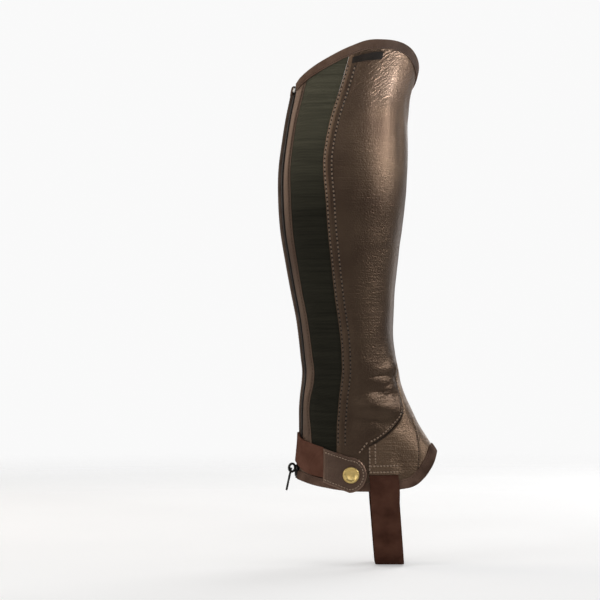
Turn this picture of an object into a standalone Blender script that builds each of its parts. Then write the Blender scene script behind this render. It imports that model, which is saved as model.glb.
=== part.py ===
"""A riding half chap for the right leg, in the round shape that it has when it is worn.

Metres, +Z up. The toe points along +X and the outer side of the leg faces -Y. The origin lies
on the leg's axis at the widest part of the calf. Angles go round the leg in degrees: 0 at the
back, 90 on the outer side, 180 at the front and 270 on the inner side. Heights, widths and
offsets are in millimetres. An offset is a distance outwards from the inner face of the leather.
"""

import bpy
import numpy as np

MM = 0.001

LEATHER = 1.8
SEAM_GAP = 0.3
LAYER_GAP = 0.4
FOLDED_EDGE = 1.0

ELASTIC_INSIDE = 0.2
ELASTIC_OUTSIDE = 1.4

BINDING_THICK = 0.9
BINDING_TURN = 1.3
TOP_BINDING_WIDE = 8.2
HEM_BINDING_WIDE = 7.7
ZIP_BINDING_WIDE = 4.6

ZIP_HALF_GAP = 4.6
TAPE_INSIDE = 0.2
TAPE_OUTSIDE = 1.0
COIL_OUTSIDE = 2.2
COIL_HALF_WIDE = 2.4
COIL_TOP = 90.0
STOP_LOW = 93.0
COIL_END = -279.0
STOP_TALL = 5.0

STRAP_THICK = 1.8
STRAP_OFFSET = LEATHER + LAYER_GAP
STRAP_OVER_BINDING = LEATHER + LAYER_GAP + BINDING_THICK + LAYER_GAP
STIRRUP_HALF_WIDE = 14.3
BOX_CORNER_RISE = 2.6

TAB_THICK = 2.8
TAB_LOW_SIDE_LIFT = 1.5
SNAP_ANGLE = 72.2
SNAP_HEIGHT = -289.4

LABEL_THICK = 0.6

# One row for each level section: the leather's inner face at the back and at the front (X),
# half the width from side to side, how much narrower the front half is, and the shift in Y.
SECTION = np.array(
    [
        (-322.0, -47.7, 125.5, 38.0, 0.28, 0.0),
        (-306.0, -46.2, 115.5, 38.0, 0.28, 0.0),
        (-287.0, -44.4, 104.0, 38.0, 0.27, 0.0),
        (-271.0, -42.7, 94.0, 38.0, 0.25, 0.0),
        (-255.0, -41.3, 83.5, 38.2, 0.22, 0.0),
        (-239.0, -41.2, 73.7, 38.4, 0.19, 0.0),
        (-225.0, -41.2, 67.0, 38.6, 0.17, 0.0),
        (-211.0, -40.2, 60.6, 39.0, 0.15, 0.0),
        (-199.0, -38.7, 57.0, 39.6, 0.13, 0.0),
        (-187.0, -38.0, 54.4, 40.0, 0.12, 0.2),
        (-172.0, -39.6, 51.2, 40.6, 0.11, 0.4),
        (-157.0, -41.2, 49.2, 41.5, 0.10, 0.6),
        (-135.0, -44.1, 49.0, 43.0, 0.10, 1.0),
        (-105.0, -50.1, 50.7, 45.5, 0.10, 1.6),
        (-75.0, -55.7, 53.7, 48.5, 0.11, 2.0),
        (-45.0, -60.7, 57.5, 51.5, 0.12, 1.8),
        (-15.0, -62.9, 61.2, 53.5, 0.13, 1.2),
        (15.0, -62.7, 63.2, 54.5, 0.13, 0.6),
        (45.0, -58.9, 63.7, 54.3, 0.12, 0.2),
        (70.0, -54.7, 63.7, 53.7, 0.10, 0.0),
        (89.0, -50.7, 65.9, 53.5, 0.09, 0.0),
        (107.0, -47.7, 71.0, 54.0, 0.07, 0.0),
        (125.0, -44.7, 75.2, 54.5, 0.05, 0.0),
        (143.0, -41.2, 78.5, 55.0, 0.04, 0.0),
        (158.0, -38.2, 81.2, 55.5, 0.04, 0.0),
    ],
    dtype=[
        ("height", float),
        ("back", float),
        ("front", float),
        ("half_width", float),
        ("narrowing", float),
        ("sideways", float),
    ],
)

# One row for each large fold: its centre, its half size round the leg in degrees and upwards,
# how far it climbs per degree, and how far it stands out (a trough is negative).
FOLDS = np.array(
    [
        (130.0, -191.0, 17.0, 4.5, 0.03, -1.7),
        (163.0, -196.0, 13.0, 6.0, -0.10, -1.5),
        (120.0, -206.5, 17.0, 5.0, -0.06, -2.8),
        (117.0, -220.0, 24.0, 7.5, -0.03, 2.8),
        (108.0, -236.0, 22.0, 7.0, -0.15, -1.6),
        (150.0, -183.0, 16.0, 5.5, 0.05, 1.2),
        (100.0, -178.0, 20.0, 9.0, 0.05, 0.9),
        (228.0, -188.0, 22.0, 5.0, 0.16, -2.0),
        (240.0, -203.0, 26.0, 6.0, 0.22, 2.0),
        (236.0, -217.0, 24.0, 5.5, 0.20, -2.2),
        (258.0, -226.0, 24.0, 7.0, 0.16, 1.7),
        (290.0, -205.0, 20.0, 8.0, 0.10, -1.2),
        (150.0, 60.0, 10.0, 55.0, 0.0, -1.0),
        (128.0, 85.0, 9.0, 50.0, 0.0, 0.9),
        (215.0, 40.0, 14.0, 50.0, 0.0, -1.0),
        (250.0, 45.0, 12.0, 45.0, 0.0, 0.8),
    ],
    dtype=[
        ("angle", float),
        ("height", float),
        ("wide", float),
        ("tall", float),
        ("climb", float),
        ("rise", float),
    ],
)

EDGE = [("height", float), ("angle", float)]
LEVEL = [("angle", float), ("height", float)]

# Edges that run up the leg.
ZIP_LINE = np.array(
    [(-306, 5.5), (-287, 6), (-240, 9), (-180, 13), (-100, 16), (0, 17), (100, 16)], dtype=EDGE
)
ELASTIC_REAR = np.array(
    [
        (-300, 35.0),
        (-252, 33.0),
        (-218, 32.0),
        (-198, 37.0),
        (-168, 37.5),
        (-117, 35.5),
        (-66, 35.0),
        (-15, 35.0),
        (29, 33.0),
        (61, 33.5),
        (110, 38.0),
    ],
    dtype=EDGE,
)
ELASTIC_FRONT = np.array(
    [
        (-300, 59.0),
        (-252, 64.0),
        (-214, 72.5),
        (-190, 77.0),
        (-168, 80.5),
        (-117, 79.0),
        (-66, 77.0),
        (-15, 74.0),
        (29, 70.3),
        (61, 72.8),
        (87, 76.6),
        (120, 79.5),
    ],
    dtype=EDGE,
)
GUSSET_REAR = np.array(
    [(-305, 83.5), (-289.5, 85.9), (-271, 89.2), (-260, 91.9), (-250, 92.5), (140, 92.5)],
    dtype=EDGE,
)

# Edges that run round the leg. The hem, the gusset's seam and the sewn corners are alike on
# both sides, and their angles count from the back. The strap's angles are below 0 on the
# inner side.
TOP_EDGE = np.array(
    [
        (4, 98.5),
        (16, 99.5),
        (22, 102.2),
        (26.5, 105.7),
        (31, 108.4),
        (57.7, 123.7),
        (80, 135.7),
        (95, 141.7),
        (109, 142.7),
        (123.6, 141.7),
        (136, 138.7),
        (144, 135.7),
        (155.4, 129.7),
        (169, 121.7),
        (180, 116),
        (195, 106),
        (210, 97),
        (240, 87),
        (270, 85),
        (300, 87.5),
        (330, 93),
        (360, 98),
        (380, 99.5),
    ],
    dtype=LEVEL,
)
HEM_EDGE = np.array(
    [
        (0, -294),
        (13, -294.7),
        (47, -300.7),
        (67, -304.2),
        (91, -304.6),
        (104, -303.3),
        (119, -299.5),
        (128.4, -293.2),
        (140.7, -284.3),
        (168.7, -269.7),
        (180, -268.2),
    ],
    dtype=LEVEL,
)
GUSSET_SEAM = np.array(
    [
        (0, -260),
        (60, -260),
        (92, -260),
        (108.7, -251.8),
        (121, -244.5),
        (131, -238.5),
        (137.5, -234),
        (145.4, -226.5),
        (151.9, -217),
        (155.7, -206.5),
        (159, -197),
        (165, -187.5),
        (172, -177),
        (180, -168),
    ],
    dtype=LEVEL,
)
CORNER_EDGE = np.array(
    [
        (80, -289.5),
        (92, -289.5),
        (103, -289.5),
        (109, -289.4),
        (119, -286.3),
        (128, -280),
        (140, -271),
        (168, -257),
        (180, -256),
    ],
    dtype=LEVEL,
)
STRAP_TOP = np.array(
    [(-92, -260), (-40, -254), (-15, -249.5), (0, -248.5), (20, -255), (35, -258.5), (57, -264)],
    dtype=LEVEL,
)
STRAP_BOTTOM = np.array(
    [(-92, -289.5), (-40, -284), (-12, -280), (6, -278.3), (17, -282), (26, -286.5), (57, -293.8)],
    dtype=LEVEL,
)


def smooth(at, places, values):
    """A smooth curve through values at rising places, going on straight past its ends."""
    slopes = np.gradient(values, places)
    inside = np.clip(at, places[0], places[-1])
    row = np.clip(np.searchsorted(places, inside) - 1, 0, len(places) - 2)
    step = places[row + 1] - places[row]
    t = (inside - places[row]) / step
    start = (1 + 2 * t) * (1 - t) ** 2 * values[row] + t * (1 - t) ** 2 * step * slopes[row]
    end = t**2 * (3 - 2 * t) * values[row + 1] - t**2 * (1 - t) * step * slopes[row + 1]
    beyond = np.where(at < places[0], slopes[0], slopes[-1])
    return start + end + (at - inside) * beyond


def ramp(value, low, high):
    """0 below low, 1 above high and a soft step between them."""
    t = np.clip((value - low) / (high - low), 0, 1)
    return t * t * (3 - 2 * t)


def from_back(angle):
    """How far an angle is from the back of the leg, the same on both sides."""
    return np.abs((angle + 180) % 360 - 180)


def edge_line(table):
    return lambda height: smooth(height, table["height"], table["angle"])


def top_level(angle):
    return smooth(angle, TOP_EDGE["angle"], TOP_EDGE["height"])


def hem_level(angle):
    return smooth(from_back(angle), HEM_EDGE["angle"], HEM_EDGE["height"])


def seam_level(angle):
    return smooth(from_back(angle), GUSSET_SEAM["angle"], GUSSET_SEAM["height"])


def corner_level(angle):
    return smooth(from_back(angle), CORNER_EDGE["angle"], CORNER_EDGE["height"])


def fold_rise(angle, height):
    rise = np.zeros(np.shape(angle))
    for fold in FOLDS:
        away = (angle - fold["angle"] + 180) % 360 - 180
        across = (height - fold["height"] - fold["climb"] * away) / fold["tall"]
        rise = rise + fold["rise"] * np.exp(-((away / fold["wide"]) ** 2) - across**2)
    return rise


def leg(angle, height):
    """Points of the leather's inner face: egg-shaped sections, with the folds standing out."""
    angle, height = np.broadcast_arrays(angle, height)
    size = {
        name: smooth(height, SECTION["height"], SECTION[name]) for name in SECTION.dtype.names
    }
    depth = (size["front"] - size["back"]) / 2
    cosine = np.cos(np.radians(angle))
    sine = np.sin(np.radians(angle))
    x = (size["front"] + size["back"]) / 2 - depth * cosine
    y = size["sideways"] - size["half_width"] * sine * (1 + size["narrowing"] * cosine)
    out_x = -size["half_width"] * cosine
    out_y = -depth * sine
    share = fold_rise(angle, height) / np.hypot(out_x, out_y)
    return np.stack([x + share * out_x, y + share * out_y, height], axis=-1)


def outward(angle, height):
    """The direction straight out of the leather."""
    around = leg(angle + 0.3, height) - leg(angle - 0.3, height)
    upward = leg(angle, height + 0.5) - leg(angle, height - 0.5)
    normal = np.cross(around, upward)
    return normal / np.linalg.norm(normal, axis=-1, keepdims=True)


def surface(angle, height, offset):
    angle, height, offset = np.broadcast_arrays(angle, height, offset)
    return leg(angle, height) + offset[..., None] * outward(angle, height)


def pace(angle, height):
    """Millimetres along the leather for one degree round the leg."""
    return np.linalg.norm(leg(angle + 0.5, height) - leg(angle - 0.5, height), axis=-1)


def shifted(line, distance):
    """A line up the leg moved round it by a distance in millimetres."""
    return lambda height: line(height) + distance / pace(line(height), height)


def between(left, right, count):
    """Lines in equal steps from left to right, both included."""

    def blend(share):
        return lambda height: (1 - share) * left(height) + share * right(height)

    return [blend(share) for share in np.linspace(0, 1, count + 1)]


def lattice(lines, levels, counts):
    """Angles and heights where lines up the leg cross rows that are spaced between levels."""
    angles = []
    heights = []
    steps = [np.linspace(i, i + 1, count, endpoint=False) for i, count in enumerate(counts)]
    shares = np.concatenate([*steps, [len(counts)]])
    for line in lines:
        marks = []
        for level in levels:
            height = np.float64(0)
            for _ in range(40):
                height = level(line(height))
            marks.append(height)
        column = np.interp(shares, np.arange(len(marks)), marks)
        heights.append(column)
        angles.append(line(column))
    return np.array(angles).T, np.array(heights).T


def material(name, colour, roughness, metallic=0.0):
    made = bpy.data.materials.new(name)
    made.use_nodes = True
    shader = made.node_tree.nodes["Principled BSDF"]
    shader.inputs["Base Color"].default_value = (*colour, 1.0)
    shader.inputs["Roughness"].default_value = roughness
    shader.inputs["Metallic"].default_value = metallic
    made.diffuse_color = (*colour, 1.0)
    return made


def add_mesh(name, points, faces, look, smooth_shade=True):
    """One closed mesh from points in millimetres."""
    mesh = bpy.data.meshes.new(name)
    mesh.from_pydata((np.asarray(points) * MM).tolist(), [], faces)
    mesh.validate()
    mesh.materials.append(look)
    if smooth_shade:
        mesh.shade_smooth()
    made = bpy.data.objects.new(name, mesh)
    bpy.context.scene.collection.objects.link(made)
    return made


def add_wall(name, outer, inner, look, keep=None, smooth_shade=True):
    """A closed wall between two grids of points. keep says which cells of the grid are filled.
    Seen from outside, columns run to the right and rows run upwards."""
    rows, columns = outer.shape[:2]
    number = np.arange(rows * columns).reshape(rows, columns)
    cells = np.stack([number[:-1, :-1], number[:-1, 1:], number[1:, 1:], number[1:, :-1]], -1)
    cells = cells.reshape(-1, 4) if keep is None else cells[keep]
    used = np.unique(cells)
    place = np.zeros(rows * columns, int)
    place[used] = np.arange(len(used))
    cells = place[cells]
    points = np.concatenate([outer.reshape(-1, 3)[used], inner.reshape(-1, 3)[used]])
    shift = len(used)
    sides = np.concatenate([cells[:, [i, (i + 1) % 4]] for i in range(4)])
    known = set(map(tuple, sides.tolist()))
    rim = [(a, b) for a, b in known if (b, a) not in known]
    faces = cells.tolist() + (cells[:, ::-1] + shift).tolist()
    faces += [(b, a, a + shift, b + shift) for a, b in sorted(rim)]
    return add_mesh(name, points, faces, look, smooth_shade)


def add_panel(name, angles, heights, inside, outside, look, keep=None):
    return add_wall(
        name,
        surface(angles, heights, outside),
        surface(angles, heights, inside),
        look,
        keep,
    )


def add_binding(name, angles, heights, inward, wide, look):
    """A tape folded over an edge of the leather: an inner leaf, the turn and an outer leaf.
    inward is 1 or -1, for the side of the edge on which the leather lies."""
    along_angle = np.gradient(angles) * pace(angles, heights)
    along_height = np.gradient(heights)
    length = np.hypot(along_angle, along_height)
    step_angle = -inward * along_height / length / pace(angles, heights)
    step_height = inward * along_angle / length
    near = LEATHER + LAYER_GAP
    far = near + BINDING_THICK
    inner_leaf = -LAYER_GAP - BINDING_THICK
    outer_line = [
        (wide, inner_leaf),
        (-0.4, inner_leaf),
        (-BINDING_TURN, 0.0),
        (-BINDING_TURN, LEATHER),
        (-0.4, far),
        (wide, far),
    ]
    inner_line = [
        (wide, -LAYER_GAP),
        (-0.1, -LAYER_GAP),
        (-LAYER_GAP, 0.1),
        (-LAYER_GAP, LEATHER - 0.1),
        (-0.1, near),
        (wide, near),
    ]

    def swept(line):
        rows = [surface(angles + w * step_angle, heights + w * step_height, d) for w, d in line]
        return np.array(rows)

    outer, inner = swept(outer_line), swept(inner_line)
    if inward < 0:
        outer, inner = outer[::-1], inner[::-1]
    return add_wall(name, outer, inner, look)


for old in list(bpy.data.objects):
    bpy.data.objects.remove(old)

leather_look = material("leather", (0.115, 0.075, 0.055), 0.42, 0.25)
strip_look = material("zip_strip", (0.125, 0.083, 0.062), 0.42, 0.25)
gusset_look = material("gusset", (0.135, 0.088, 0.063), 0.42, 0.25)
elastic_look = material("elastic", (0.018, 0.018, 0.013), 0.85)
top_binding_look = material("top_binding", (0.105, 0.055, 0.038), 0.8)
hem_binding_look = material("hem_binding", (0.062, 0.038, 0.030), 0.8)
zip_binding_look = material("zip_binding", (0.050, 0.032, 0.026), 0.8)
tape_look = material("zip_tape", (0.020, 0.016, 0.014), 0.8)
stop_look = material("zip_stop", (0.50, 0.49, 0.47), 0.35, 1.0)
slider_look = material("zip_slider", (0.035, 0.033, 0.032), 0.28, 0.9)
pull_look = material("zip_pull", (0.030, 0.028, 0.028), 0.32, 0.9)
strap_look = material("ankle_strap", (0.085, 0.036, 0.024), 0.85)
stirrup_look = material("stirrup_strap", (0.075, 0.028, 0.018), 0.85)
tab_look = material("ankle_tab", (0.085, 0.052, 0.042), 0.45, 0.2)
brass_look = material("snap_cap", (0.60, 0.41, 0.12), 0.25, 1.0)
label_look = material("label", (0.060, 0.040, 0.032), 0.9)

# The zip runs up the back, turned a little to the outer side.
zip_line = edge_line(ZIP_LINE)
inner_zip_edge = shifted(zip_line, -(ZIP_HALF_GAP + BINDING_TURN))
outer_zip_edge = shifted(zip_line, ZIP_HALF_GAP)
elastic_rear = edge_line(ELASTIC_REAR)
elastic_front = edge_line(ELASTIC_FRONT)
outer_corner = edge_line(GUSSET_REAR)


def inner_corner(height):
    return 360 - outer_corner(height)


def inner_zip_edge_round(height):
    return 360 + inner_zip_edge(height)


UPRIGHT_LEVELS = [
    hem_level,
    seam_level,
    lambda angle: seam_level(angle) + 58,
    lambda angle: top_level(angle) - 34,
    top_level,
]
UPRIGHT_COUNTS = [4, 9, 22, 4]

# The shaft panel is one piece of leather from the front edge of the elastic round the front and
# the inner side to the zip. The instep gusset fills the gap cut in its lower front.
OUTER_COLUMNS, FRONT_COLUMNS, INNER_COLUMNS = 3, 26, 12
shaft_lines = (
    between(shifted(elastic_front, SEAM_GAP / 2), outer_corner, OUTER_COLUMNS)
    + between(outer_corner, inner_corner, FRONT_COLUMNS)[1:]
    + between(inner_corner, inner_zip_edge_round, INNER_COLUMNS)[1:]
)
shaft_angles, shaft_heights = lattice(shaft_lines, UPRIGHT_LEVELS, UPRIGHT_COUNTS)
shaft_keep = np.ones((shaft_angles.shape[0] - 1, shaft_angles.shape[1] - 1), bool)
shaft_keep[: UPRIGHT_COUNTS[0], OUTER_COLUMNS : OUTER_COLUMNS + FRONT_COLUMNS] = False
over_gusset = ramp(from_back(shaft_angles), 90, 102)
above_seam = shaft_heights - seam_level(shaft_angles)
folded = FOLDED_EDGE * over_gusset * np.exp(-((above_seam / 9) ** 2))
add_panel(
    "shaft_panel", shaft_angles, shaft_heights, 0.0, LEATHER + folded, leather_look, shaft_keep
)

# The instep gusset reaches down over the foot. The ends of both straps are sewn in behind its
# lower corners, so the leather is thick there and ends in a step where the stirrup comes out.
CORNER_STEP = 0.3


def gusset_top(angle):
    slope = (seam_level(angle + 0.5) - seam_level(angle - 0.5)) / pace(angle, seam_level(angle))
    return seam_level(angle) - SEAM_GAP * np.sqrt(1 + slope**2)


gusset_lines = between(shifted(outer_corner, SEAM_GAP), shifted(inner_corner, -SEAM_GAP), 26)
gusset_angles, gusset_heights = lattice(
    gusset_lines,
    [
        hem_level,
        lambda angle: corner_level(angle) - CORNER_STEP / 2,
        lambda angle: corner_level(angle) + CORNER_STEP / 2,
        gusset_top,
    ],
    [2, 1, 9],
)
over_strap = (1 - ramp(from_back(gusset_angles), 106, 114)) * (1 - ramp(gusset_heights, -272, -260))
over_strap = over_strap * (gusset_heights > corner_level(gusset_angles))
add_panel(
    "instep_gusset",
    gusset_angles,
    gusset_heights,
    0.0,
    LEATHER + BOX_CORNER_RISE * over_strap,
    gusset_look,
)

# The elastic panel lets the calf move. A strip of leather joins it to the zip.
elastic_angles, elastic_heights = lattice(
    between(shifted(elastic_rear, SEAM_GAP / 2), shifted(elastic_front, -SEAM_GAP / 2), 5),
    UPRIGHT_LEVELS,
    UPRIGHT_COUNTS,
)
add_panel(
    "elastic_panel",
    elastic_angles,
    elastic_heights,
    ELASTIC_INSIDE,
    ELASTIC_OUTSIDE,
    elastic_look,
)
strip_angles, strip_heights = lattice(
    between(outer_zip_edge, shifted(elastic_rear, -SEAM_GAP / 2), 2),
    UPRIGHT_LEVELS,
    UPRIGHT_COUNTS,
)
add_panel("zip_strip", strip_angles, strip_heights, 0.0, LEATHER, strip_look)

# The zip is one tape with the closed coil standing up along its middle.
tape_lines = [
    shifted(zip_line, place)
    for place in (
        SEAM_GAP - ZIP_HALF_GAP,
        -COIL_HALF_WIDE - 0.4,
        -COIL_HALF_WIDE,
        0.0,
        COIL_HALF_WIDE,
        COIL_HALF_WIDE + 0.4,
        ZIP_HALF_GAP - SEAM_GAP,
    )
]
tape_angles, tape_heights = lattice(tape_lines, UPRIGHT_LEVELS, UPRIGHT_COUNTS)
coil_shape = np.array([0, 0, 0.75, 1, 0.75, 0, 0])
coil_part = ramp(tape_heights, COIL_END, COIL_END + 3)
coil_part = coil_part * (1 - ramp(tape_heights, COIL_TOP - 8, COIL_TOP))
coil_rise = (COIL_OUTSIDE - TAPE_OUTSIDE) * coil_shape * coil_part
add_panel(
    "zip_tape", tape_angles, tape_heights, TAPE_INSIDE, TAPE_OUTSIDE + coil_rise, tape_look
)

# Folded tapes finish the top edge, the hem and the inner edge of the zip.
top_angles = np.concatenate(
    [
        np.linspace(outer_zip_edge(101.0), 34, 4),
        np.linspace(40, 364, 49),
        [inner_zip_edge_round(98.0)],
    ]
)
add_binding(
    "top_binding", top_angles, top_level(top_angles), -1, TOP_BINDING_WIDE, top_binding_look
)
hem_angles = np.concatenate(
    [[outer_zip_edge(-295.0)], np.linspace(18, 353, 47), [inner_zip_edge_round(-295.0)]]
)
add_binding(
    "hem_binding", hem_angles, hem_level(hem_angles), 1, HEM_BINDING_WIDE, hem_binding_look
)
zip_edge_heights = np.linspace(
    hem_level(0.0) + HEM_BINDING_WIDE + SEAM_GAP, top_level(361.0) - TOP_BINDING_WIDE - SEAM_GAP, 38
)
add_binding(
    "zip_binding",
    inner_zip_edge_round(zip_edge_heights),
    zip_edge_heights,
    1,
    ZIP_BINDING_WIDE,
    zip_binding_look,
)


def angle_at(x, height):
    """The angle on the outer side at which the leather's inner face reaches x."""
    back = smooth(height, SECTION["height"], SECTION["back"])
    front = smooth(height, SECTION["height"], SECTION["front"])
    return np.degrees(np.arccos(np.clip((back + front - 2 * x) / (front - back), -1, 1)))


def edge_at(table, angle):
    return smooth(angle, table["angle"], table["height"])


# The ankle strap is woven elastic. It runs from the gusset's inner corner round the back,
# over the zip, and is sewn into the leather tab on the outer side.
TAB_REAR = -18.5


def upright(angle):
    return lambda height: angle + 0 * height


def strap_rear(height):
    return angle_at(TAB_REAR - SEAM_GAP, height)


def strap_front(height):
    return -outer_corner(height)


strap_lines = between(strap_front, upright(-8.0), 11)
strap_lines += [upright(angle) for angle in (-3.0, 1.0, 5.0, 9.0, 13.0, 17.0, 21.0, 26.0)]
strap_lines += between(upright(31.0), strap_rear, 3)
strap_angles, strap_heights = lattice(
    strap_lines,
    [lambda angle: edge_at(STRAP_BOTTOM, angle), lambda angle: edge_at(STRAP_TOP, angle)],
    [3],
)
over_zip = ramp(strap_angles, -14, -3) * (1 - ramp(strap_angles, 17, 31))
strap_offset = STRAP_OFFSET + (STRAP_OVER_BINDING - STRAP_OFFSET) * over_zip
add_panel(
    "ankle_strap",
    strap_angles,
    strap_heights,
    strap_offset,
    strap_offset + STRAP_THICK,
    strap_look,
)

# The tab is leather on both faces with the strap's end between them. Its round front end is
# held by a snap. One row for each place along it: X, middle height and half its height.
TAB = np.array(
    [(TAB_REAR, -280.0, 16.8), (-8, -284.0, 17.2), (0, -287.1, 17.5), (6, -289.4, 17.6)],
    dtype=[("x", float), ("middle", float), ("half", float)],
)
TAB_END_LONG = 16.5
TAB_END_STEPS = np.radians([18, 36, 52, 66, 78, 86])
tab_x = np.concatenate([TAB["x"], TAB["x"][-1] + TAB_END_LONG * np.sin(TAB_END_STEPS)])
tab_half = np.concatenate([TAB["half"], TAB["half"][-1] * np.cos(TAB_END_STEPS)])
tab_middle = np.concatenate([TAB["middle"], np.full(len(TAB_END_STEPS), TAB["middle"][-1])])
tab_rows = np.linspace(-1, 1, 7)[:, None]
tab_heights = tab_middle + tab_rows * tab_half
tab_angles = angle_at(tab_x, tab_heights)


def tab_inside_at(height):
    """The tab's lower side is lifted by the hem binding under it."""
    return STRAP_OFFSET + TAB_LOW_SIDE_LIFT * ramp(-height, 276, 298)


tab_inside = tab_inside_at(tab_heights)
add_panel("ankle_tab", tab_angles, tab_heights, tab_inside, tab_inside + TAB_THICK, tab_look)

# The snap's cap is a dished brass disc. One row for each ring: radius and height above the tab.
SNAP_PROFILE = [
    (7.7, 0.0),
    (8.3, 0.5),
    (8.3, 1.1),
    (7.8, 1.8),
    (6.9, 2.1),
    (6.0, 1.9),
    (5.2, 1.3),
    (3.0, 0.9),
]
SNAP_SIDES = 24
SNAP_GAP = 0.45


def tab_face(angle, height):
    return surface(angle, height, tab_inside_at(height) + TAB_THICK)


snap_around = tab_face(SNAP_ANGLE + 2, SNAP_HEIGHT) - tab_face(SNAP_ANGLE - 2, SNAP_HEIGHT)
snap_upward = tab_face(SNAP_ANGLE, SNAP_HEIGHT + 4) - tab_face(SNAP_ANGLE, SNAP_HEIGHT - 4)
snap_up = np.cross(snap_around, snap_upward)
snap_up = snap_up / np.linalg.norm(snap_up)
snap_side = np.cross([0, 0, 1.0], snap_up)
snap_side = snap_side / np.linalg.norm(snap_side)
snap_rise = np.cross(snap_up, snap_side)
snap_base = tab_face(SNAP_ANGLE, SNAP_HEIGHT) + SNAP_GAP * snap_up
turns = np.arange(SNAP_SIDES) * 2 * np.pi / SNAP_SIDES
snap_points = []
for radius, lift in SNAP_PROFILE:
    ring = np.cos(turns)[:, None] * snap_side + np.sin(turns)[:, None] * snap_rise
    snap_points.append(snap_base + radius * ring + lift * snap_up)
snap_points = np.concatenate(snap_points)
snap_faces = [tuple(range(SNAP_SIDES))[::-1]]
snap_faces.append(tuple(range(len(snap_points) - SNAP_SIDES, len(snap_points))))
for ring in range(len(SNAP_PROFILE) - 1):
    for side in range(SNAP_SIDES):
        a = ring * SNAP_SIDES + side
        b = ring * SNAP_SIDES + (side + 1) % SNAP_SIDES
        snap_faces.append((a, b, b + SNAP_SIDES, a + SNAP_SIDES))
add_mesh("snap_cap", snap_points, snap_faces, brass_look)

# The stirrup strap is the same elastic. It leaves both lower corners of the gusset, crosses
# the hem binding and runs under the foot. One row for each place on one side: height, distance
# from the middle plane, both to the middle of its thickness.
STIRRUP = np.array(
    [
        (-318.0, 40.6),
        (-332.0, 39.2),
        (-346.0, 37.6),
        (-358.0, 36.2),
        (-367.0, 34.9),
        (-373.5, 32.7),
        (-377.6, 29.4),
        (-379.2, 25.0),
        (-379.5, 13.0),
        (-379.5, 0.0),
    ],
    dtype=[("height", float), ("out", float)],
)
STIRRUP_TOP_X = 39.4
STIRRUP_LOW_X = 46.4
STIRRUP_TOP = -289.5 - CORNER_STEP / 2 - SEAM_GAP
on_chap = np.array([STIRRUP_TOP, -291.2, -293.5, -296.2, -300.0, -304.0, -307.5])
lift_share = ramp(-on_chap, 291.2, 296.2)
chap_offset = STRAP_OFFSET + STRAP_THICK / 2
chap_offset = chap_offset + (STRAP_OVER_BINDING - STRAP_OFFSET) * lift_share
across = np.linspace(-STIRRUP_HALF_WIDE, STIRRUP_HALF_WIDE, 5)


def stirrup_x(height):
    share = (height - STIRRUP_TOP) / (STIRRUP["height"][-1] - STIRRUP_TOP)
    return STIRRUP_TOP_X + (STIRRUP_LOW_X - STIRRUP_TOP_X) * share


def stirrup_side(side):
    """Middle points from the gusset's corner down to the sole. side is 1 outer, -1 inner."""
    rows = []
    for height, offset in zip(on_chap, chap_offset):
        angles = angle_at(stirrup_x(height) + across, np.full(len(across), height))
        rows.append(surface(angles if side > 0 else 360 - angles, height, offset))
    edge_y = rows[-1][:, 1]
    for height, out in zip(STIRRUP["height"], STIRRUP["out"]):
        flat = ramp(-height, 307.5, 350)
        middle_y = edge_y[len(across) // 2]
        y = -side * out + (1 - flat) * (edge_y - middle_y)
        rows.append(np.stack([stirrup_x(height) + across, y, np.full(len(across), height)], -1))
    return np.array(rows)


stirrup_middle = np.concatenate([stirrup_side(-1)[:-1], stirrup_side(1)[::-1]])
down = np.gradient(stirrup_middle, axis=0)
right = np.gradient(stirrup_middle, axis=1)
stirrup_out = np.cross(right, down)
stirrup_out = stirrup_out / np.linalg.norm(stirrup_out, axis=-1, keepdims=True)
add_wall(
    "stirrup_strap",
    stirrup_middle + stirrup_out * STRAP_THICK / 2,
    stirrup_middle - stirrup_out * STRAP_THICK / 2,
    stirrup_look,
)

# A blank woven label lies on the shaft under the top binding. Columns: angle, low, high.
LABEL = np.array([(83.8, 119.6, 125.6), (92.5, 121.6, 128.6), (102, 123.4, 131), (111.5, 124.2, 132)])
label_angles = np.tile(LABEL[:, 0], (2, 1))
label_heights = LABEL[:, 1:].T
add_panel(
    "label",
    label_angles,
    label_heights,
    LEATHER + SEAM_GAP,
    LEATHER + SEAM_GAP + LABEL_THICK,
    label_look,
)

# The zip's stop is a metal clip over the top of the coil.
stop_heights = np.linspace(STOP_LOW, STOP_LOW + STOP_TALL, 3)[:, None]
stop_angles = np.concatenate(
    [[shifted(zip_line, place)(stop_heights[:, 0])] for place in (-2.2, -1.2, 1.2, 2.2)]
).T
stop_rise = np.array([1.2, 2.0, 2.0, 1.2])
add_panel(
    "zip_stop",
    stop_angles,
    np.tile(stop_heights, (1, 4)),
    TAPE_OUTSIDE + SEAM_GAP,
    TAPE_OUTSIDE + SEAM_GAP + np.tile(stop_rise, (3, 1)),
    stop_look,
)

# The slider sits below the ankle strap. Its frame is the tape's own: out from the leg, along
# the tangent and up. Its body is a tapered plate, and a round bridge stands on it.
SLIDER_HEIGHT = -287.0
SLIDER_LONG = 12.0
SLIDER_LOW = TAPE_OUTSIDE + LAYER_GAP
SLIDER_HIGH = 4.3
BRIDGE_OUT = 7.9
BRIDGE_UP = 2.3
BRIDGE_RADIUS = 4.2
BRIDGE_HOLE = 2.5
BRIDGE_HALF_WIDE = 1.6
slider_angle = zip_line(SLIDER_HEIGHT)
slider_at = leg(slider_angle, SLIDER_HEIGHT)
out_way = outward(slider_angle, SLIDER_HEIGHT)
side_way = np.cross([0, 0, 1.0], out_way)
side_way = side_way / np.linalg.norm(side_way)
up_way = np.cross(out_way, side_way)


def slider_point(side, up, out):
    return slider_at + side * side_way + up * up_way + out * out_way


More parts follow.
